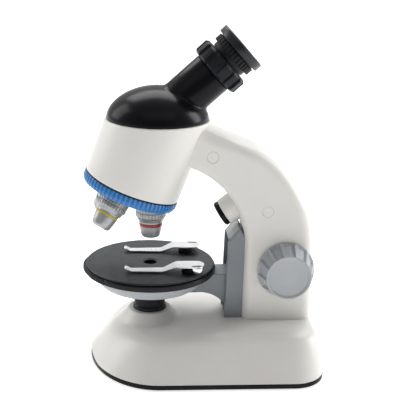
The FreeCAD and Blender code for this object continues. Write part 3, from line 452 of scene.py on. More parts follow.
# coated lens glass: dark, glossy and slightly blue-green where it is looked through
GLASS = material("coated_glass", (0.05, 0.07, 0.08), 0.06, grain=0.001, mottle=0.1, coat=1.0)
lens_shader = GLASS.node_tree.nodes["Principled BSDF"]
lens_shader.inputs["Transmission Weight"].default_value = 0.35
lens_shader.inputs["IOR"].default_value = 1.52

# ---------------- CAD nodes that stay

KEPT = {
    "battery_tray": BLACK_SATIN, "battery_cells": CELL, "battery_contacts": SCREW_STEEL,
    "lamp_board": BOARD, "pod_board": BOARD, "mirror": MIRROR, "mirror_bracket": BLACK_SATIN,
    "nosepiece_plate": BLACK_SATIN, "detent_spring": SCREW_STEEL, "detent_ball": SCREW_STEEL,
    "objective_lenses": GLASS, "field_lens": GLASS, "eye_lens": GLASS, "lamp_lens": GLASS,
    "pod_lens": GLASS, "arm_screws": SCREW_STEEL, "focus_rack": GREY, "colour_filters": FILM,
    "wheel_pivot": SCREW_STEEL, "focus_shaft": SCREW_STEEL, "focus_pinion": BRASS,
    "rubber_feet": RUBBER, "base_screws": SCREW_STEEL, "nosepiece_pivot": SCREW_STEEL,
}
for node, finish in KEPT.items():
    kept = frame["nodes"][node]
    kept.data.materials.clear()
    kept.data.materials.append(finish)


# ---------------- base

PLATE_LOW = 0.4
PLATE_TOP = 3.6
BASE_TOP = 28.0
# each section: share of the height, then how far in the sides, nose, rear and corners are
SECTIONS = ((0.0, 0.2, 0.0, 0.2, 0.0), (0.45, 5.0, 6.5, 1.4, 1.0), (0.76, 9.4, 12.0, 2.8, 2.0),
            (0.92, 13.0, 17.0, 4.6, 4.0), (1.0, 18.5, 23.0, 8.0, 7.0))
PAD_RADIUS = 12.5  # of the raised seat round the lamp barrel
PAD_TOP = 30.7
PAD_EDGE = PAD_RADIUS * 0.98
FLAT_STEPS = 40  # of a column across the top
SIDE_STEPS = 80  # and down the side
OUTLINE_STEPS = 16
COLUMN_POINTS = 64


def base_outline(sides=0.0, front=0.0, back=0.0, round_in=0.0):
    """Points (x, y) round a D, half an ellipse in front and rounded corners behind."""
    centre, half, rear, corner = 5.5, 51.8 - sides, 101.6 - back, 19.0 - round_in
    bulge = 35.4 - front + centre
    points = [(centre - bulge * math.cos(angle), half * math.sin(angle))
              for angle in [math.radians(-90 + 3 * step) for step in range(60)]]
    straight = rear - corner - centre
    shares = [step / OUTLINE_STEPS for step in range(OUTLINE_STEPS)]
    points += [(centre + straight * share, half) for share in shares]
    points += arc((rear - corner, half - corner), corner, 90, 0, OUTLINE_STEPS)
    points += [(rear, blend(half - corner, corner - half, share)) for share in shares[1:]]
    points += arc((rear - corner, corner - half), corner, 0, -90, OUTLINE_STEPS)
    points += [(centre + straight * (1 - share), -half) for share in shares[1:]]
    return points


def reach(outline, angle):
    """How far a ray from the optical axis goes to an outline that runs clockwise."""
    ray = Vector((math.cos(angle), math.sin(angle)))
    for first, second in zip(outline, outline[1:] + outline[:1]):
        one, two = Vector(first), Vector(second)
        turn_one = ray.x * one.y - ray.y * one.x
        turn_two = ray.x * two.y - ray.y * two.x
        if turn_one >= 0 > turn_two and (one + two).dot(ray) > 0:
            return one.lerp(two, turn_one / (turn_one - turn_two)).dot(ray)
    return 0.0


def top_height(x):
    """The shoulder is lower towards the nose."""
    return blend(24.6, BASE_TOP, smooth((x + 6) / 58))


def smooth_max(one, two, width):
    """The larger of two values, blended where they are within a width of each other."""
    share = max(width - abs(one - two), 0) / width
    return max(one, two) + share * share * width / 4


def curve_through(values, share):
    """Catmull-Rom through evenly numbered values."""
    index = min(int(share), len(values) - 2)
    local = share - index
    before = values[max(index - 1, 0)]
    here, after = values[index], values[index + 1]
    last = values[min(index + 2, len(values) - 1)]
    return 0.5 * (2 * here + (after - before) * local
                  + (2 * before - 5 * here + 4 * after - last) * local ** 2
                  + (3 * here - before - 3 * after + last) * local ** 3)


def base_shape():
    """The shell's outside, a column of points for each point of the foot's outline: over the lamp's
    pad, across the top, over the shoulder and down to the plate."""
    outlines = [base_outline(*section[1:]) for section in SECTIONS]
    heights = [section[0] for section in SECTIONS]
    rows = []
    for x, y in base_outline()[::-1]:
        angle = math.atan2(y, x)
        reaches = [reach(outline, angle) for outline in outlines]
        top_end = reaches[-1]
        line = []
        for step in range(FLAT_STEPS + 1):
            radius = blend(PAD_EDGE, max(top_end, PAD_RADIUS), step / FLAT_STEPS)
            if radius <= top_end:
                line.append((radius, top_height(radius * math.cos(angle))))
        for step in range(SIDE_STEPS + 1):
            share = (len(SECTIONS) - 1) * (1 - step / SIDE_STEPS)
            radius = curve_through(reaches, share)
            crest = top_height(radius * math.cos(angle))
            if radius > PAD_EDGE or radius > top_end:
                height = curve_through(heights, share)
                line.append((radius, PLATE_TOP + height * (crest - PLATE_TOP)))
        cone = [(radius, smooth_max(height, PAD_TOP - max(0.0, radius - PAD_RADIUS) ** 1.02, 1.6))
                for radius, height in line]
        cone = [(PAD_RADIUS - 0.25, PAD_TOP)] + [row for row in cone if row[0] > PAD_RADIUS + 0.1]
        rows.append((angle, [(9.0, PAD_TOP), (12.0, PAD_TOP)] + resampled(cone, COLUMN_POINTS)
                     + [(cone[-1][0] - 2.2, PLATE_TOP)]))
    return skin([[Vector((row[level][0] * math.cos(angle), row[level][0] * math.sin(angle),
                          row[level][1])) for angle, row in rows]
                 for level in range(len(rows[0][1]))])


switch_room = block((94.4, 104), (-9.65, 9.65), (9.05, 19.35))
carved(piece("base_shell_body", [base_shape()], WHITE, "base_shell"), [switch_room])


def plate_shape():
    """The foot's outline at each (inset, height), edges rounded."""
    levels = ((1.6, PLATE_LOW), (0.9, PLATE_LOW), (0.35, PLATE_LOW + 0.18), (0.0, PLATE_LOW + 0.7),
              (0.0, PLATE_TOP - 0.5), (0.12, PLATE_TOP - 0.16), (0.5, PLATE_TOP - 0.02),
              (3.0, PLATE_TOP - 0.02))
    return skin([[Vector((x, y, height)) for x, y in base_outline(inset, inset, inset, inset)]
                 for inset, height in levels])


FEET = [(-14, 24), (-14, -24), (88, 27), (88, -27)]
SCREWS = [(2, 40), (2, -40), (86, 38), (86, -38)]
plate_body = piece("base_plate_body", [plate_shape()], BLACK_GLOSS, "base_plate")
carved(plate_body, [block((26, 80), (-24.5, 24.5), (-1, 3.2))]
       + [drill(5.0, -1, 1.5, x, y, 40) for x, y in FEET]
       + [drill(3.1, -1, 1.9, x, y) for x, y in SCREWS])
door = [block((26.2, 79.8), (-24.3, 24.3), (PLATE_LOW, PLATE_TOP - 0.6))]
door_body = piece("battery_door_panel", door, BLACK_GLOSS, "battery_door", bevel=0.3)
carved(door_body, [block((30 + 1.6 * row, 30.8 + 1.6 * row), (-9, 9), (-1, PLATE_LOW + 0.35))
                   for row in range(6)] + [drill(3.0, -1, 1.0, 78)])

# ---------------- arm

ARM_HALF = 16.0
ARM_START = 27.7  # distance from the head axis, inside the drum's wall
BEND = 34  # the station where the arm has left the drum
START_POINTS = 30
# edges of the arm in the symmetry plane, from the head to the foot
ARM_OUTER = (line_through((14, 150.4), (60, 131.9), 30)
             + arc_through((60, 131.9), (74.6, 121.0), (84.7, 107.0), 22)
             + arc_through((84.7, 107.0), (91.7, 92.5), (94.9, 74.0), 22)
             + line_through((94.9, 74.0), (96.4, 26.0), 12) + [Vector((96.4, 26.0))])
ARM_INNER = (arc_through((14, 122.8), (34.4, 114.4), (46.0, 102.6), 52)
             + arc_through((46.0, 102.6), (52.2, 90.0), (55.0, 76.0), 22)
             + line_through((55.0, 76.0), (54.8, 26.0), 12) + [Vector((54.8, 26.0))])


def head_distance(point):
    """Distance of a stand point, in millimetres, from the head axis."""
    along = Vector((math.sin(TILT), 0, math.cos(TILT)))
    arm = point - Vector((0, 0, APEX.z / MM))
    return (arm - along * arm.dot(along)).length


def arm_half(side):
    """One moulded half, its start trimmed to the drum and its seam edge broken."""
    bends = [math.radians(11.25 * step) for step in range(9)]
    stations = []
    for outer, inner in zip(ARM_OUTER, ARM_INNER):
        across = (outer - inner).length
        out = (outer - inner).normalized()
        section = [(0.22, 0.06), (0.0, 0.3), (0.0, 5.0), (0.0, 9.0)]
        section += [(4.75 - 4.75 * math.cos(a), ARM_HALF - 4.75 + 4.75 * math.sin(a))
                    for a in bends]
        section += [(across * share, ARM_HALF) for share in (0.3, 0.5, 0.7)]
        section += [(across - 7.0 + 7.0 * math.sin(a), ARM_HALF - 5.5 + 5.5 * math.cos(a))
                    for a in bends]
        section += [(across, 8.5), (across, 5.0), (across, 0.3), (across - 0.22, 0.06)]
        stations.append([Vector((*(inner + out * high), 0)).xzy + Vector((0, side * wide, 0))
                         for high, wide in section])
    fibres = []
    for column in range(len(stations[0])):
        fibre = [station[column] for station in stations]
        start = 0
        while head_distance(fibre[start + 1]) < ARM_START:
            start += 1
        near, far = head_distance(fibre[start]), head_distance(fibre[start + 1])
        share = max(0.0, (ARM_START - near) / (far - near))
        trimmed = [fibre[start].lerp(fibre[start + 1], share)] + fibre[start + 1:]
        joint = next(index for index, point in enumerate(trimmed) if point == fibre[BEND])
        fibres.append(resampled(trimmed[:joint + 1], START_POINTS) + trimmed[joint + 1:])
    return skin([[fibre[level] for fibre in fibres] for level in range(len(fibres[0]))])


PLUGS = [(34.3, 128.4), (67.2, 96.0)]
seat = drill(3.5, -1.3, 2, columns=48)
plug = turned([(0.0, -1.1), (3.42, -1.1), (3.42, -0.10, 0.12), (0.9, -0.03), (0.6, -0.12),
               (0.0, -0.12)], 48)
for side, word in SIDES:
    spots = [(x, side * ARM_HALF, z) for x, z in PLUGS]
    arm_body = piece("arm_half_" + word, [arm_half(side)], WHITE, "arm_shell_" + word)
    carved(arm_body, [shifted(seat, spot, outwards(side)) for spot in spots])
    piece("arm_plugs_" + word, [shifted(plug, spot, outwards(side)) for spot in spots], WHITE,
          "arm_plugs", replaces=side < 0)

# ---------------- column and bracket

COLUMN_BACK = 56.2
cheek = [(44.3, 27.4), (45.3, 75.0), (45.8, 76.2), (52.2, 84.2), (COLUMN_BACK, 77.0),
         (COLUMN_BACK, 27.4)]
piece("column_cheeks", [prism(cheek, -12.0, -9.3), prism(cheek, 9.3, 12.0)], GREY, "focus_column",
      bevel=0.7)
# The column's top between the cheeks is painted a lighter grey than its grey sides: a painted highlight for the
# light that falls on the top.
roof = [(45.6, 76.5), (51.9, 83.6), (COLUMN_BACK, 77.2), (COLUMN_BACK, 76.5)]
piece("column_top_painted_highlight", [prism(roof, -8.95, 8.95)], LIGHT_GREY, "focus_column", replaces=False,
      bevel=0.4)
sill = [(44.9, 27.2), (44.9, 28.2), (53.0, 28.2), (53.0, 27.2)]
piece("column_sill", [prism(sill, -9.1, 9.1)], GREY, "focus_column", replaces=False, bevel=0.4)
# Black strips at the back of the slot, beside the bracket's neck: painted shade that keeps the column's throat
# dark in front of the arm's white inner face.
shade_strip = [(52.9, 30.4), (52.9, 76.0), (53.5, 76.0), (53.5, 30.4)]
piece("column_throat_painted_shade", [prism(shade_strip, -9.2, -5.7), prism(shade_strip, 5.7, 9.2)], BLACK_SATIN,
      "focus_column", replaces=False, bevel=0.15)

STAGE_TOP = 59.9
RIM_LOW = 55.1
bracket = [(20.0, 42.7)] + arc_through((27.0, 42.7), (38.5, 40.5), (44.4, 35.1), 14)
bracket += [(44.4, 35.1), (52.7, 35.1), (52.7, 62.1), (48.0, 62.1), (46.6, 54.7), (20.0, 54.7)]
piece("bracket_block", [prism(bracket, -8.8, 8.8)], GREY, "stage_bracket", bevel=0.8)
piece("bracket_neck", [block((52.0, 60.0), (-5.5, 5.5), (47.1, 62.1))], GREY, "stage_bracket",
      replaces=False, bevel=0.4)

# ---------------- stage

stage_profile = [(3.9, RIM_LOW + 3.5), (37.2, RIM_LOW + 3.5), (37.2, STAGE_TOP - 1.0, 0.1),
                 (38.0, STAGE_TOP - 0.85, 0.3), (38.0, STAGE_TOP - 0.1, 0.6),
                 (36.9, STAGE_TOP, 0.5), (36.2, STAGE_TOP - 0.18, 0.2), (5.0, STAGE_TOP - 0.14),
                 (4.6, STAGE_TOP - 0.5, 0.1), (3.9, STAGE_TOP - 0.55, 0.1)]
piece("stage_plate_disc", [turned(stage_profile, 192)], STAGE_BLACK, "stage_plate")
rim_profile = [(5.0, RIM_LOW), (38.4, RIM_LOW, 0.4), (38.9, RIM_LOW + 0.5, 0.4),
               (38.9, RIM_LOW + 3.1, 0.4), (38.4, RIM_LOW + 3.5, 0.3), (37.6, RIM_LOW + 3.5),
               (37.6, RIM_LOW + 0.6), (5.0, RIM_LOW + 0.6)]
GRIP_SPAN = 47  # degrees of fine ribs on each side of the front
serrations = [(angle, float(index % 3 == 0 and abs(math.degrees(angle) - 180) < GRIP_SPAN))
              for index, angle in enumerate(evenly(360))]
rim_body = piece("stage_rim_ring", [turned(rim_profile, serrations, beyond(38.2, 0.5))], RIM_BLACK,
                 "stage_rim", sharp=28)
window = [(-25, -15.6), (-25, 15.6), (-45, 28.1), (-45, -28.1)]
carved(rim_body, [slab(window, RIM_LOW + 0.6, RIM_LOW + 5)])
dish_profile = [(13, RIM_LOW - 10), (24, RIM_LOW - 10, 3), (28.6, RIM_LOW - 8.6, 5),
                (31.4, RIM_LOW - 6, 4), (32.8, RIM_LOW - 2.6, 4), (33.0, RIM_LOW - 0.02, 0.1),
                (31.0, RIM_LOW - 0.02), (30.6, RIM_LOW - 2.6), (29.2, RIM_LOW - 5.4),
                (26.8, RIM_LOW - 7.2), (23.6, RIM_LOW - 8), (13, RIM_LOW - 8)]
piece("stage_dish_bowl", [turned(dish_profile, 160)], LIGHT_GREY, "stage_dish")

WHEEL_X = -8.5
WHEEL_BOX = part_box("filter_wheel")
WHEEL_RADIUS = (WHEEL_BOX[1][1] - WHEEL_BOX[0][1]) / 2 / MM
wheel_profile = [(1.55, RIM_LOW + 1.3), (26, RIM_LOW + 1.3), (27, RIM_LOW + 0.9),
                 (WHEEL_RADIUS, RIM_LOW + 0.8, 0.3), (WHEEL_RADIUS, RIM_LOW + 3.3, 0.3),
                 (27, RIM_LOW + 3.2), (26, RIM_LOW + 2.5), (1.55, RIM_LOW + 2.5)]
knurl = ribbed(96, ((0.0, 0.0), (0.3, 0.0), (0.5, 1.0), (0.8, 1.0)))
wheel = turned(wheel_profile, knurl, beyond(WHEEL_RADIUS - 0.8, 0.6), 2)
wheel_body = piece("filter_wheel_disc", [shifted(wheel, (WHEEL_X, 0, 0))], BLACK_SATIN,
                   "filter_wheel")
FILTER_CIRCLE = 8.5
FILTER_HOLES = (3.5, 3.4, 3.4, 1.9, 1.2)
carved(wheel_body, [drill(radius, 50, 60, WHEEL_X + FILTER_CIRCLE * math.cos(angle),
                          FILTER_CIRCLE * math.sin(angle))
                    for radius, angle in zip(FILTER_HOLES, evenly(len(FILTER_HOLES)))])

# ---------------- clips

CLIP_Y = abs(JOINTS["clip_near_swing"]["pos_m"][1]) / MM
CLIP_X = (JOINTS["clip_near_swing"]["pos_m"][0] - APEX.x) / MM
CLIP_HIGH = STAGE_TOP + 4.4
CLIP_LOW = STAGE_TOP + 0.35
THICK = 0.8
SOFT = 0.22  # how far a strip's long edges are broken, across the strip
EASE = 0.2  # and through its thickness
TIP_HALF = 2.7
TIP_START = -14.0
# along a clip: x, then the reach from the post's line away from and towards the middle
CLIP_WIDTHS = ((-16, 2.7, 2.7), (-8, 2.8, 2.8), (8, 3.5, 3.4), (16, 5.5, 5.2), (25, 5.95, 5.5),
               (28, 5.4, 5.2), (29.4, 4.4, 4.3), (30.4, 3.0, 3.0), (30.9, 1.4, 1.4))


def clip_reaches(x):
    """How far a clip's two edges are from its middle line."""
    if x < TIP_START:
        tip = TIP_HALF * math.sqrt(max(0.12, 1 - ((TIP_START - x) / 1.7) ** 2))
        return tip, tip
    for low, high in zip(CLIP_WIDTHS, CLIP_WIDTHS[1:]):
        if low[0] <= x <= high[0]:
            share = (x - low[0]) / (high[0] - low[0])
            return blend(low[1], high[1], share), blend(low[2], high[2], share)
    return CLIP_WIDTHS[-1][1:]


def clip_shape(side):
    """A spring steel strip with rounded edges, bent up to a plateau over its post."""
    path = rounded([(-15.5, CLIP_LOW + 2.0), (-11.8, CLIP_LOW, 3), (7.2, CLIP_LOW, 6),
                    (14.6, CLIP_HIGH - THICK, 6), (30.9, CLIP_HIGH - THICK)], 8)
    line = resampled(path, 90)
    rings = []
    for index, point in enumerate(line):
        before, after = line[max(index - 1, 0)], line[min(index + 1, len(line) - 1)]
        along = (after - before).normalized()
        normal = Vector((-along.y, along.x))
        out, into = clip_reaches(point.x)
        section = ((SOFT - out, 0.0), (into - SOFT, 0.0), (into, EASE), (into, THICK - EASE),
                   (into - SOFT, THICK), (SOFT - out, THICK), (-out, THICK - EASE), (-out, EASE))
        spots = [(point + normal * high, wide) for wide, high in section]
        rings.append([Vector((spot.x, side * (CLIP_Y - wide), spot.y)) for spot, wide in spots])
    return skin(rings)


TAB_X = 26.6
TAB_HALF = 2.9
TAB_STEPS = 16


def tab_shape(side):
    """The finger tab: a short leaf folded down from the plateau's outer edge."""
    edge = CLIP_Y + 6.0
    section = [(edge - 3.0, CLIP_HIGH), (edge, CLIP_HIGH, 1.2), (edge, CLIP_HIGH - 4.0, 0.3),
               (edge - THICK, CLIP_HIGH - 4.0, 0.3), (edge - THICK, CLIP_HIGH - THICK, 0.5),
               (edge - 3.0, CLIP_HIGH - THICK)]
    outline = rounded(section, 5)
    rings = []
    for step in range(TAB_STEPS + 1):
        share = -0.999 + 1.998 * step / TAB_STEPS
        fold = 1 - (1 - abs(share) ** 2.2) ** 0.5
        rings.append([Vector((TAB_X + TAB_HALF * share, side * y, z + fold * (CLIP_HIGH - z) * 0.9))
                      for y, z in outline])
    return skin(rings)


for side, word in SIDES:
    boss = shifted(turned([(1.25, -2.2), (2.4, -2.2), (2.4, -0.7), (1.25, -0.7)], 32),
                   (CLIP_X, side * CLIP_Y, CLIP_HIGH))
    piece("clip_strip_" + word, [clip_shape(side), tab_shape(side), boss], CLIP_STEEL,
          "clip_" + word)
post = [(0.0, 0.0), (4.2, 0.0), (4.2, 1.9, 0.35), (1.3, 1.9), (1.2, 3.4, 0.3), (0.0, 3.4)]
piece("clip_post_pair", [shifted(turned(post, 48), (CLIP_X, side * CLIP_Y, STAGE_TOP - 0.14))
                         for side in (-1, 1)], BLACK_SATIN, "clip_posts")

# ---------------- head

DRUM_RADIUS = 28.5
DRUM_DROP = 31.8
DRUM_TOP = 147.1
BORE = 26.3
WALL_LOW = -DRUM_DROP + 0.5
WALL_HIGH = -0.45  # under the level top
RING_STEPS = 192


def to_plane(x, height=DRUM_TOP):
    """Where a line along the head axis at a local x meets a level plane."""
    return (height - APEX.z / MM + x * math.sin(TILT)) / math.cos(TILT)


def drum_shape():
    """Square to its axis below, cut level on top. Heights are above the apex, a share of the wall,
    or under the level top."""
    profile = [(BORE, -30.6, "axis"), (BORE, -DRUM_DROP + 0.3, "axis"), (26.6, -DRUM_DROP, "axis"),
               (28.0, -DRUM_DROP, "axis"), (28.35, -DRUM_DROP + 0.15, "axis"),
               (DRUM_RADIUS, WALL_LOW, "axis")]
    profile += [(DRUM_RADIUS, share, "wall") for share in (0.02, 0.25, 0.5, 0.75, 0.9, 0.98)]
    profile += [(DRUM_RADIUS, WALL_HIGH, "top"), (28.4, -0.15, "top"), (28.1, -0.02, "top"),
                (27.7, 0.0, "top"), (27.2, 0.0, "top"), (BORE, 0.0, "top"), (BORE, -3.0, "top")]
    rings = []
    for radius, height, kind in profile:
        ring = []
        for angle in evenly(RING_STEPS):
            x, y = radius * math.cos(angle), radius * math.sin(angle)
            high = {"axis": height, "wall": blend(WALL_LOW, to_plane(x) + WALL_HIGH, height),
                    "top": to_plane(x) + height}[kind]
            ring.append(Vector((x, y, high)))
        rings.append(ring)
    return skin(rings, loop=True)


piece("drum_wall", [drum_shape()], WHITE, "head_drum", place=HEAD)

DOME_RISE = 19.0
DOME_HALF = 27.75
DOME_LEVELS = 49
SKIRT = 1.2
CAP_POWER = 1.9
CAP_CENTRE = Vector(((DRUM_TOP - APEX.z / MM) * math.tan(TILT), 0, DRUM_TOP))
CAP_RADII = Vector((DOME_HALF / math.cos(TILT), DOME_HALF, DOME_RISE))
TUBE_RADIUS = 12.7
EYE_AXIS = Vector(JOINTS["zoom_turn"]["axis"])
EYE_START = Vector((0, 0, MIRROR_POINT.z / MM))


def cap_reach(arm):
    """1 on the cap's surface, less inside it."""
    total = sum(abs(value / radius) ** CAP_POWER for value, radius in zip(arm, CAP_RADII))
    return total ** (1 / CAP_POWER)


def on_cap(arm):
    """Where a ray from the cap's centre meets its surface."""
    return CAP_CENTRE + arm / cap_reach(arm)


def dome_shape():
    """A cap over the drum's level top, with a short skirt inside the drum's lip."""
    rows = []
    for step in range(DOME_LEVELS):
        lift = math.radians(90 * step / DOME_LEVELS)
        flat = math.cos(lift)
        rise = math.sin(lift) * DOME_RISE / DOME_HALF
        rows.append([on_cap(Vector((flat * math.cos(angle), flat * math.sin(angle), rise)))
                     for angle in evenly(RING_STEPS)])
    skirt = [point - Vector((0, 0, SKIRT)) for point in rows[0]]
    return skin([skirt] + rows)


FILLET = 2.4
FILLET_STEPS = 7
SINK = 0.02  # how far the fillet's edges go under the surfaces they join
HALVINGS = 40


def fillet_shape():
    """The soft inner corner between the cap and the eyepiece tube."""
    side = Vector((0, 1, 0))
    up = side.cross(EYE_AXIS)
    columns = []
    for angle in evenly(160):
        out = up * math.cos(angle) + side * math.sin(angle)
        low, high = 0.0, 40.0
        for _ in range(HALVINGS):
            middle = (low + high) / 2
            if cap_reach(EYE_START + out * TUBE_RADIUS + EYE_AXIS * middle - CAP_CENTRE) < 1:
                low = middle
            else:
                high = middle
        corner = EYE_START + out * TUBE_RADIUS + EYE_AXIS * low
        tube_end = corner + EYE_AXIS * FILLET - out * SINK
        cap_end = on_cap(corner + out * FILLET - CAP_CENTRE)
        cap_end += (CAP_CENTRE - cap_end).normalized() * SINK
        columns.append([tube_end.lerp(corner, share).lerp(corner.lerp(cap_end, share), share)
                        for share in [step / FILLET_STEPS for step in range(FILLET_STEPS + 1)]])
    return skin([[column[level] for column in columns] for level in range(FILLET_STEPS + 1)],
                caps=False)


piece("dome_cap", [dome_shape(), fillet_shape()], BLACK_GLOSS, "head_dome", sharp=50)
tube_profile = [(11.05, 14), (TUBE_RADIUS - 0.01, 14), (TUBE_RADIUS - 0.01, 46.2),
                (12.4, 46.7, 0.2), (11.05, 46.7)]
piece("eyepiece_tube_wall", [turned(tube_profile, ROUND)], BLACK_GLOSS, "eyepiece_tube", place=EYE)

zoom_columns = ribbed(14, ((0.0, 1.0), (0.03, 0.8), (0.07, 0.0), (0.2, 0.0), (0.34, 0.0),
                           (0.48, 0.0), (0.62, 0.0), (0.66, 0.8), (0.69, 1.0), (0.8, 1.0),
                           (0.9, 1.0)), math.radians(-70))
zoom_profile = [(12.1, 47.0), (14.9, 47.0, 0.3), (16.25, 48.2, 0.4), (16.25, 55.3, 0.4),
                (14.9, 56.5, 0.3), (12.1, 56.5)]
piece("zoom_ring_grip", [turned(zoom_profile, zoom_columns, lambda radius, height:
      max(0.0, radius - 14.95))], BLACK_SATIN, "zoom_ring", place=EYE, sharp=28)
piece("zoom_ring_core", [turned([(12.08, 47.3), (14.97, 47.3, 0.2), (14.97, 56.2, 0.2),
                                 (12.08, 56.2)], ROUND)], BLACK_SATIN, "zoom_ring", place=EYE,
      replaces=False)

grip_columns = ribbed(36, ((0.0, 0.0), (0.16, 0.0), (0.34, 0.0), (0.5, 0.0), (0.6, 0.7),
                           (0.7, 1.0), (0.82, 1.0), (0.92, 0.7)))
barrel_profile = [(10.0, 28), (11.0, 28), (11.0, 57.2), (11.6, 57.3, 0.2), (11.6, 59.9),
                  (13.6, 59.9, 0.4), (13.6, 64.1, 0.4), (12.6, 64.3), (12.6, 64.9), (10.0, 64.9)]
cup_profile = [(12.6, 64.9), (15.25, 64.95, 0.35), (15.25, 69.6, 0.5), (14.3, 69.8, 0.2),
               (13.9, 69.62, 0.1), (12.2, 69.62, 0.1), (11.5, 69.3, 0.3), (8.0, 67.3, 0.3),
               (8.0, 65), (10.0, 63)]
piece("eyepiece_grip", [turned(barrel_profile, grip_columns, beyond(13.0, 0.62))], BLACK_SATIN,
      "eyepiece_barrel", place=EYE)
piece("eyepiece_cup", [turned(cup_profile, ROUND)], CUP_BLACK, "eyepiece_barrel", place=EYE,
      replaces=False)

# ---------------- nosepiece

ring_columns = ribbed(66, ((0.0, 0.0), (0.14, 0.0), (0.3, 0.0), (0.46, 0.0), (0.54, 0.75),
                           (0.66, 1.0), (0.82, 1.0), (0.94, 0.75)))
ring_profile = [(25.4, -38.0), (26.6, -38.4, 0.2), (27.6, -38.1, 0.3), (28.6, -36.0, 0.4),
                (28.6, -32.9, 0.3), (28.2, -32.6, 0.1), (25.4, -32.6)]
piece("nosepiece_gap_ring", [turned([(25.6, -33.0), (27.9, -33.0), (27.9, -32.0, 0.1),
                                     (25.6, -32.0)], ROUND)], BLACK_SATIN, "nosepiece_ring",
      place=HEAD, replaces=False)
piece("nosepiece_ring_grip", [turned(ring_profile, ring_columns, lambda radius, height:
      0.95 if radius > 28.1 else (0.5 if radius > 27.4 else 0.0))], BLUE, "nosepiece_ring",
      place=HEAD, sharp=28)
turret = frame["nodes"]["nosepiece_turret"]
turret.data.materials.clear()
turret.data.materials.append(BLACK_SATIN)
round_edges(turret, 0.25, 2, 40)

collar_ribs = ribbed(30, ((0.0, 0.0), (0.2, 0.0), (0.45, 0.0), (0.54, 0.7), (0.62, 1.0),
                          (0.86, 1.0), (0.94, 0.6)))
# node, thirds about the head, how far below the apex the tip and the collar end, band and its width
OBJECTIVES = (("objective_high", 0, 62.4, 50.0, "band_red", RED_BAND, 1.7),
              ("objective_low", -1, 61.6, 49.4, "band_yellow", YELLOW_BAND, 1.0),
              ("objective_middle", 1, 61.6, 49.7, "band_green", GREEN_BAND, 1.2))
for node, index, tip, collar, band_node, paint, wide in OBJECTIVES:
    band = collar + 3.6
    place = objective_frame(index)
    collar_profile = [(4.4, -38), (5.4, -38), (5.4, -41.6), (8.6, -41.6, 0.3), (9.0, -42.4, 0.3),
                      (9.0, -46.0, 0.3), (8.75, -46.3), (8.75, -46.6), (9.0, -46.9, 0.3),
                      (9.0, -collar + 0.6, 0.35), (8.2, -collar - 0.3, 0.3),
                      (7.5, -collar - 2.3, 0.4), (6.6, -collar - 2.4), (4.4, -collar - 2.0)]
    piece(node + "_collar", [turned(collar_profile, collar_ribs, beyond(8.4, 0.5), 3)], SILVER,
          node, place=place, sharp=28)
    nose = [(4.4, -collar - 2.0), (7.0, -collar - 2.0), (6.95, -band + 0.3, 0.15), (6.5, -band),
            (6.5, -band - wide), (6.75, -band - wide - 0.15, 0.1), (6.0, -tip + 3.0, 0.8),
            (5.6, -tip + 1.3, 0.8), (4.9, -tip + 0.3, 0.6), (3.6, -tip, 0.5), (2.2, -tip, 0.2),
            (2.2, -tip + 2), (4.4, -tip + 5)]
    piece(node + "_nose", [turned(nose, steps=5)], SILVER, node, place=place, replaces=False)
    sleeve = [(6.4, -band - wide), (6.85, -band - wide + 0.05, 0.12), (6.9, -band - 0.05, 0.12),
              (6.4, -band)]
    piece(band_node + "_sleeve", [turned(sleeve)], paint, band_node, place=place)

# ---------------- focus knobs

PANELS = 12
PANEL_DEPTH = 1.75
FACE_RADIUS = 12.5
knob_columns = ribbed(PANELS, ((0.0, 0.0), (0.08, 0.0), (0.17, 0.0), (0.25, 0.06), (0.285, 0.85),
                               (0.32, 1.0), (0.5, 0.86), (0.625, 0.82), (0.75, 0.86), (0.93, 1.0),
                               (0.965, 0.85), (0.996, 0.06)), math.radians(8))
knob_profile = [(3.0, 16.6), (16.4, 16.6, 0.4), (17.0, 17.2, 0.4), (17.0, 18.0), (16.4, 19.8),
                (15.4, 23.0), (14.5, 26.0), (13.9, 28.4), (13.6, 29.3), (13.2, 30.05, 0.35),
                (12.4, 30.15, 0.3), (11.9, 29.6, 0.3), (11.3, 29.2, 0.4), (6.0, 28.75, 2),
                (0.0, 28.7), (0.0, 26.2), (3.0, 26.2)]


def knob_depth(radius, height):
    """The panels fade in above the collar and out below the face."""
    if radius < FACE_RADIUS:
        return 0.0
    return PANEL_DEPTH * smooth((height - 17.3) / 0.35) * (1 - smooth((height - 29.35) / 0.6))


for side, word in SIDES:
    piece("knob_" + word, [turned(knob_profile, knob_columns, knob_depth)], KNOB_GREY,
          "focus_knob_" + word, place=knob_frame(side), sharp=38)

# ---------------- lamps

pod_profile = [(5.4, 52.4), (7.5, 52.1, 0.3), (8.0, 52.6, 0.3), (9.5, 69.8), (5.4, 69.8)]
piece("pod_body", [turned(pod_profile)], WHITE, "pod_housing", place=POD)
bezel = [(4.6, 51.0), (5.5, 50.8), (5.6, 49.3, 0.15), (6.9, 48.95, 0.4), (7.6, 49.7, 0.4),
         (7.6, 52.1, 0.2), (5.3, 52.1), (5.3, 58), (4.6, 58)]
piece("pod_bezel_ring", [turned(bezel)], BLACK_GLOSS, "pod_bezel", place=POD)
LAMP_RADIUS = 9.1
lamp_profile = [(7.1, PAD_TOP - 5.9), (7.1, 37.6), (7.9, 37.6), (7.9, 39.9), (8.7, 39.95, 0.3),
                (LAMP_RADIUS, 39.5, 0.3), (LAMP_RADIUS, PAD_TOP + 2.8, 0.3),
                (10.0, PAD_TOP + 1.8, 0.3),
                (10.0, PAD_TOP + 0.02), (8.15, PAD_TOP + 0.02), (8.15, PAD_TOP - 5.9)]
lamp_ribs = ribbed(72, ((0.0, 0.0), (0.35, 0.0), (0.5, 1.0), (0.85, 1.0)))
piece("lamp_barrel", [turned(lamp_profile, lamp_ribs, lambda radius, height:
      0.16 if 33.6 < height < 39.6 and radius > 8.8 else 0.0)], BLACK_SATIN, "lamp_housing")

# ---------------- switch

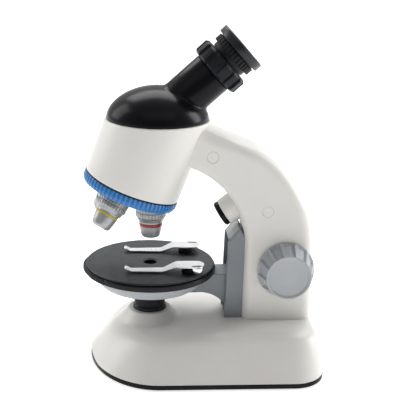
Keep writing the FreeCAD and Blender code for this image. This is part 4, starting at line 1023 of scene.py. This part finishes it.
SWITCH_X = (JOINTS["switch_rock"]["pos_m"][0] - APEX.x) / MM
SWITCH_Z = JOINTS["switch_rock"]["pos_m"][2] / MM
surround = [(94.7, 9.15), (101.0, 9.15), (99.4, 19.25), (94.7, 19.25)]
frame_body = piece("switch_bezel", [prism(surround, -9.55, 9.55)], BLACK_SATIN, "switch_frame",
                   bevel=0.3)
carved(frame_body, [block((95.8, 104), (-7.4, 7.4), (10.4, 18.0))])
rocker = [(97.3, 11.6), (100.0, 10.9), (100.5, 14.2), (101.1, 17.4), (97.3, 16.8)]
piece("switch_paddle", [prism(rocker, -7.0, 7.0)], RED, "switch_rocker", bevel=0.35)
axle = turned([(0.0, -8.5), (0.9, -8.5, 0.15), (0.9, 8.5, 0.15), (0.0, 8.5)], 24)
piece("switch_axle", [shifted(axle, (SWITCH_X, 0, SWITCH_Z), outwards(1))], BLACK_SATIN,
      "switch_rocker", replaces=False)


# ---------------- studio

FLOOR_RADIUS = 8.0
FLOOR_SHADE = 0.62
FLOOR_GLOW = 0.74  # keeps the floor white under soft shadows
ROOM_SPAN = (-0.9, 0.7)
ROOM_LIGHT = (0.12, 0.72)
MIDDLE = Vector((0, 0, 0.09))
# place, width, height and power
SOFTBOXES = {"overhead": ((0.05, 0.75, 1.15), 1.5, 0.6, 12),
             "right": ((1.3, 0.15, 0.6), 0.5, 0.9, 10),
             "left": ((-1.2, 0.45, 0.75), 0.7, 1.0, 6),
             "front": ((0.1, -1.3, 1.9), 2.8, 1.4, 4.5)}


def ground():
    """A pale disc that the stand rests on."""
    builder = bmesh.new()
    bmesh.ops.create_circle(builder, cap_ends=True, segments=96, radius=FLOOR_RADIUS)
    mesh = bpy.data.meshes.new("floor")
    builder.to_mesh(mesh)
    builder.free()
    floor = linked("floor", mesh)
    floor.location.z = CAD_BOX[0].z
    paint = bpy.data.materials.new("floor_paint")
    paint.use_nodes = True
    shader = paint.node_tree.nodes["Principled BSDF"]
    shader.inputs["Base Color"].default_value = (FLOOR_SHADE, FLOOR_SHADE, FLOOR_SHADE, 1)
    shader.inputs["Roughness"].default_value = 0.9
    shader.inputs["Specular IOR Level"].default_value = 0.1
    shader.inputs["Emission Color"].default_value = (1, 1, 1, 1)
    shader.inputs["Emission Strength"].default_value = FLOOR_GLOW
    mesh.materials.append(paint)


def room():
    """A world that is brighter behind than in front, and white where it is seen."""
    world = bpy.data.worlds.new("studio")
    bpy.context.scene.world = world
    world.use_nodes = True
    tree = world.node_tree
    nodes, links = tree.nodes, tree.links
    split = nodes.new("ShaderNodeSeparateXYZ")
    links.new(nodes.new("ShaderNodeTexCoord").outputs["Generated"], split.inputs["Vector"])
    depth = map_range(tree, split.outputs["Y"], ROOM_SPAN, ROOM_LIGHT)
    links.new(depth, nodes["Background"].inputs["Color"])
    sky = nodes.new("ShaderNodeBackground")
    sky.inputs["Color"].default_value = (1, 1, 1, 1)
    choose = nodes.new("ShaderNodeMixShader")
    links.new(nodes.new("ShaderNodeLightPath").outputs["Is Camera Ray"], choose.inputs["Fac"])
    links.new(nodes["Background"].outputs["Background"], choose.inputs[1])
    links.new(sky.outputs["Background"], choose.inputs[2])
    links.new(choose.outputs["Shader"], nodes["World Output"].inputs["Surface"])


def softboxes():
    for name, (place, width, height, power) in SOFTBOXES.items():
        lamp = bpy.data.lights.new(name, "AREA")
        lamp.shape = "RECTANGLE"
        lamp.size = width
        lamp.size_y = height
        lamp.energy = power
        made = linked(name, lamp)
        made.location = place
        made.rotation_euler = (MIDDLE - Vector(place)).to_track_quat("-Z", "Y").to_euler()


CAMERA_TURN = math.radians(-5.21)
CAMERA_LIFT = math.radians(17.69)
CAMERA_LEAN = math.radians(1.71)
CAMERA_AWAY = 0.6
CAMERA_AIM = Vector((2.89, 0, 93.19)) * MM
LENS = 87.74
SENSOR = 36.0


def camera():
    """Above the stage, a little to its side and leaning slightly."""
    back = Vector((math.sin(CAMERA_TURN) * math.cos(CAMERA_LIFT),
                   -math.cos(CAMERA_TURN) * math.cos(CAMERA_LIFT), math.sin(CAMERA_LIFT)))
    right = (-back).cross(Vector((0, 0, 1))).normalized()
    up = right.cross(-back)
    across = right * math.cos(CAMERA_LEAN) + up * math.sin(CAMERA_LEAN)
    above = up * math.cos(CAMERA_LEAN) - right * math.sin(CAMERA_LEAN)
    lens = bpy.data.cameras.new("camera")
    lens.lens = LENS
    lens.sensor_width = SENSOR
    made = linked("camera", lens)
    turn = Matrix((across, above, back)).transposed().to_4x4()
    made.matrix_world = Matrix.Translation(CAMERA_AIM + back * CAMERA_AWAY) @ turn
    bpy.context.scene.camera = made


bpy.context.scene.view_settings.view_transform = "Standard"
ground()
room()
softboxes()
camera()
